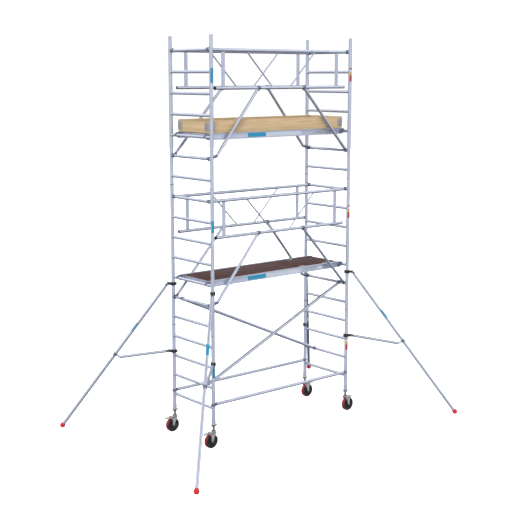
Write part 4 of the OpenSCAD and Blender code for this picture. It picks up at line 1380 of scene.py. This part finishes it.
@dataclass(frozen=True)
class Stabiliser:
    """One swing-out stabiliser, measured from its post with the leg towards +X."""

    corner: Corner
    pivot_r: float = 0.080
    reach: float = 1.635
    top_z: float = 2.130
    end_z: float = 0.030
    leg_r: float = 0.0225
    foot_r: float = 0.038
    label: tuple[float, float] = (0.272, 0.328)
    label_t: float = 0.0004
    saddle_share: float = 0.49

    @property
    def name(self) -> str:
        """First words of the names of its pieces, and its body."""
        return f"stabiliser_{self.corner.word}"

    @property
    def place(self) -> Matrix:
        """From the stabiliser's own axes to the tower's."""
        sx, sy = self.corner.value
        return Matrix.Translation(TOWER.post(self.corner)) @ turn("Z", math.degrees(math.atan2(sy, sx)))

    @property
    def leg(self) -> tuple[Vector, Vector]:
        """Both ends of the leg's axis, in its own axes."""
        return Vector((self.pivot_r, 0, self.top_z)), Vector((self.reach, 0, self.end_z))

    def clamps(self) -> None:
        """Cast clamps, their bolts and wing nuts."""
        def sort(low: Vector, high: Vector) -> str:
            """Castings are the tallest solids."""
            return "castings" if (high - low).length > 0.11 else "bolts"

        parts = Bench.split_copy(f"{self.name}_clamps", sort)
        Bench.bevel(parts["castings"], 0.0018)
        Bench.finish(parts["castings"], f"{self.name}_clamp_castings", Shop.clamp, self.name,
                     [f"{self.name}_clamps"])
        if "bolts" in parts:
            Bench.bevel(parts["bolts"], 0.0008)
            Bench.finish(parts["bolts"], f"{self.name}_clamp_bolts", Shop.zinc, self.name)

    def tubes(self) -> None:
        """Leg and bent strut, and their flattened ends."""
        def sort(low: Vector, high: Vector) -> str:
            """Tubes are long and tongues short."""
            return "tubes" if (high - low).length > 0.35 else "tongues"

        parts = Bench.split_copy(f"{self.name}_tubes", sort)
        Bench.finish(parts["tubes"], f"{self.name}_leg_and_strut", Shop.tube, self.name,
                     [f"{self.name}_tubes"])
        Bench.bevel(parts["tongues"], 0.0010)
        Bench.finish(parts["tongues"], f"{self.name}_tongues", Shop.casting, self.name)

    def saddle(self) -> None:
        """The dark saddle strap where the strut's bend meets the leg."""
        top, end = self.leg
        way = (end - top).normalized()
        at = top.lerp(end, self.saddle_share)
        r = self.leg_r
        band = Bench.spun([(r + 0.0004, -0.021), (r + 0.0030, -0.021), (r + 0.0040, -0.018),
                           (r + 0.0040, 0.018), (r + 0.0030, 0.021), (r + 0.0004, 0.021)], 32, closed=True)
        place = Matrix.Translation(at) @ way.to_track_quat("Z", "X").to_matrix().to_4x4()
        band = Bench.moved(band, self.place @ place)
        Bench.finish(band, f"{self.name}_saddle_strap", Shop.casting, self.name)

    def leg_label(self) -> None:
        """A plain blue label on the upper side of the leg."""
        top, end = self.leg
        way = (end - top).normalized()
        r = self.leg_r + self.label_t
        start, stop = (top.lerp(end, share) for share in self.label)
        piece = Bench.rod(start, stop, r, 64, open_ends=True)
        up = way.cross(Vector((0, 1, 0)))
        up = up if up.z > 0 else -up
        with Bench.editing(piece, "VERT"):
            bpy.ops.mesh.bisect(plane_co=start, plane_no=up, clear_inner=True)
        Bench.modify(piece, "SOLIDIFY", {"thickness": self.label_t, "offset": 1})
        Bench.finish(Bench.moved(piece, self.place), f"{self.name}_label", Shop.blue, self.name)

    def foot(self) -> None:
        """A rubber foot: a grooved ball on a flat sole, with a short sleeve round the leg."""
        top, end = self.leg
        way = (end - top).normalized()
        r, z = self.foot_r, self.end_z
        flat = math.sqrt(r * r - z * z)
        ball = [(p, h + z) for p, h in arc((0, 0), r, -math.degrees(math.asin(0.60)), 90, 14)[:-1]]
        sole = [(0, 0.0015), (0.009, 0.0015), (0.010, 0.0), (0.017, 0.0), (0.018, 0.0015),
                (0.0205, 0.0015), (0.0215, 0), (flat - 0.001, 0), (flat, 0.001)]
        grip = [(r - 0.0002, z - 0.006), (r - 0.0016, z - 0.0045), (r - 0.0016, z - 0.0025), (r, z - 0.001)]
        body = [p for p in ball if p[1] < z - 0.007] + grip + [p for p in ball if p[1] > z + 0.001]
        pad = Bench.spun([*sole, *body, (0, z + r)], 48)
        pad = Bench.moved(pad, shift(end.x, 0, 0))
        sleeve = Bench.spun([
            (self.leg_r + 0.0003, 0.010), (self.leg_r + 0.0055, 0.010), (self.leg_r + 0.0055, 0.0340),
            (self.leg_r + 0.0045, 0.0360), (self.leg_r + 0.0003, 0.0364)], 32, closed=True)
        place = Matrix.Translation(end) @ (-way).to_track_quat("Z", "X").to_matrix().to_4x4()
        sleeve = Bench.moved(sleeve, place)
        piece = Bench.moved(Bench.join([pad, sleeve]), self.place)
        Bench.finish(piece, f"{self.name}_rubber_foot", Shop.foot, self.name, [f"{self.name}_foot"])

    def build(self) -> None:
        """Builds the stabiliser."""
        self.clamps()
        self.tubes()
        self.saddle()
        self.leg_label()
        self.foot()


# ------------------------------------------------------------------ studio


@dataclass(frozen=True)
class Studio:
    """White surroundings, soft lights and the camera."""

    eye: Point = (-9.634, -11.368, 4.990)
    yaw: float = 39.91
    dip: float = 9.71
    lens: float = 74.43
    room_r: float = 60.0
    far: float = 400.0
    sensor: float = 36.0
    floor_drop: float = 0.0005
    front: Colour = (0.80, 0.82, 0.87)
    behind: Colour = (0.36, 0.38, 0.43)
    above: Colour = (0.10, 0.105, 0.12)
    ring: Colour = (1.55, 1.55, 1.55)
    front_way: Point = (-0.62, -0.78, 0.0)

    def emissive(self, name: str, light: float) -> bpy.types.Material:
        """A plain white backdrop that gives off light."""
        net = Net(bpy.data.materials.new(name))
        return net.end(net.add("ShaderNodeEmission", {}, {"Color": (1, 1, 1, 1), "Strength": light}))

    def room(self) -> None:
        """Pale floor and a white dome that only the camera sees."""
        floor = Bench.primitive("circle", vertices=96, radius=self.room_r, fill_type="NGON",
                                location=(0, 0, -self.floor_drop))
        floor.name = "floor"
        net = Net(bpy.data.materials.new("floor_pale"))
        floor.data.materials.append(net.surface({
            "Base Color": (0.92, 0.92, 0.92, 1), "Roughness": 0.9,
            "Emission Color": (1, 1, 1, 1), "Emission Strength": 0.8}))
        floor.visible_diffuse = floor.visible_glossy = False
        dome = Bench.primitive("uv_sphere", segments=48, ring_count=24, radius=self.room_r * 0.98)
        dome.name = "backdrop_dome"
        dome.data.materials.append(self.emissive("backdrop_white", 1.1))
        for ray in ("visible_diffuse", "visible_glossy", "visible_transmission", "visible_shadow"):
            setattr(dome, ray, False)

    def sky(self) -> None:
        """Soft light from all round, with a bright ring above the horizon and dark above and below."""
        world = bpy.data.worlds.new("studio")
        bpy.context.scene.world = world
        net = Net(world, "Generated")
        up = net.axis(2)
        level = net.mix(net.toward(self.front_way).between(-1.0, 0.6), self.behind, self.front)
        dome = net.mix(abs(up).between(0.24, 0.66), level, self.above)
        ring = up.between(0.22, 0.40) * (1 - up.between(0.60, 0.82))
        inputs = {"Color": net.mix(ring, dome, self.ring), "Strength": 1.0}
        net.end(net.add("ShaderNodeBackground", {}, inputs), "ShaderNodeOutputWorld")

    def lamp(self, name: str, azimuth: float, height: float, power: float, spread: float) -> None:
        """A soft sun that shines on matt surfaces; bright metal mirrors the sky.

        Args:
            name: The lamp's name.
            azimuth: Where it stands, in degrees from -Y towards +X.
            height: Its height above the horizon in degrees.
            power: Its strength.
            spread: Its angular size in degrees, which softens the shadows.
        """
        a, h = math.radians(azimuth), math.radians(height)
        stand = Vector((math.sin(a) * math.cos(h), -math.cos(a) * math.cos(h), math.sin(h)))
        bpy.ops.object.light_add(type="SUN", location=stand * 10)
        sun = bpy.context.active_object
        sun.name = name
        sun.rotation_euler = stand.to_track_quat("Z", "Y").to_euler()
        sun.data.energy = power
        sun.data.angle = math.radians(spread)
        sun.visible_glossy = False

    def camera(self) -> None:
        """The camera."""
        bpy.ops.object.camera_add(location=self.eye)
        cam = bpy.context.active_object
        yaw, dip = math.radians(self.yaw), math.radians(self.dip)
        way = Vector((math.sin(yaw) * math.cos(dip), math.cos(yaw) * math.cos(dip), -math.sin(dip)))
        cam.rotation_euler = way.to_track_quat("-Z", "Y").to_euler()
        cam.data.lens = self.lens
        cam.data.sensor_width = self.sensor
        cam.data.clip_end = self.far
        bpy.context.scene.camera = cam

    def build(self) -> None:
        """Builds the studio."""
        bpy.context.scene.view_settings.view_transform = "Standard"
        self.room()
        self.sky()
        self.lamp("key", -50, 42, 1.5, 14)
        self.lamp("back", 150, 40, 0.7, 30)
        self.camera()


# ------------------------------------------------------------------ assembly


def dress_packed_nodes() -> None:
    """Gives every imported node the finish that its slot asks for."""
    for name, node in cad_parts.items():
        for holder in node.material_slots:
            holder.material = Shop.for_slot(holder.material.name).material()
        LOG.info("%s dressed", name)


def main() -> None:
    """Builds the tower's looks in order."""
    logging.basicConfig(level=logging.INFO, format="%(name)s %(message)s")
    Studio().build()
    FrameTrim().build()
    GuardTrim().build()
    for level in Level:
        Platform(level).build()
    PlatformEnds().build()
    Castor().build()
    for corner in Corner:
        Stabiliser(corner).build()
    dress_packed_nodes()


if __name__ == "__main__":
    main()
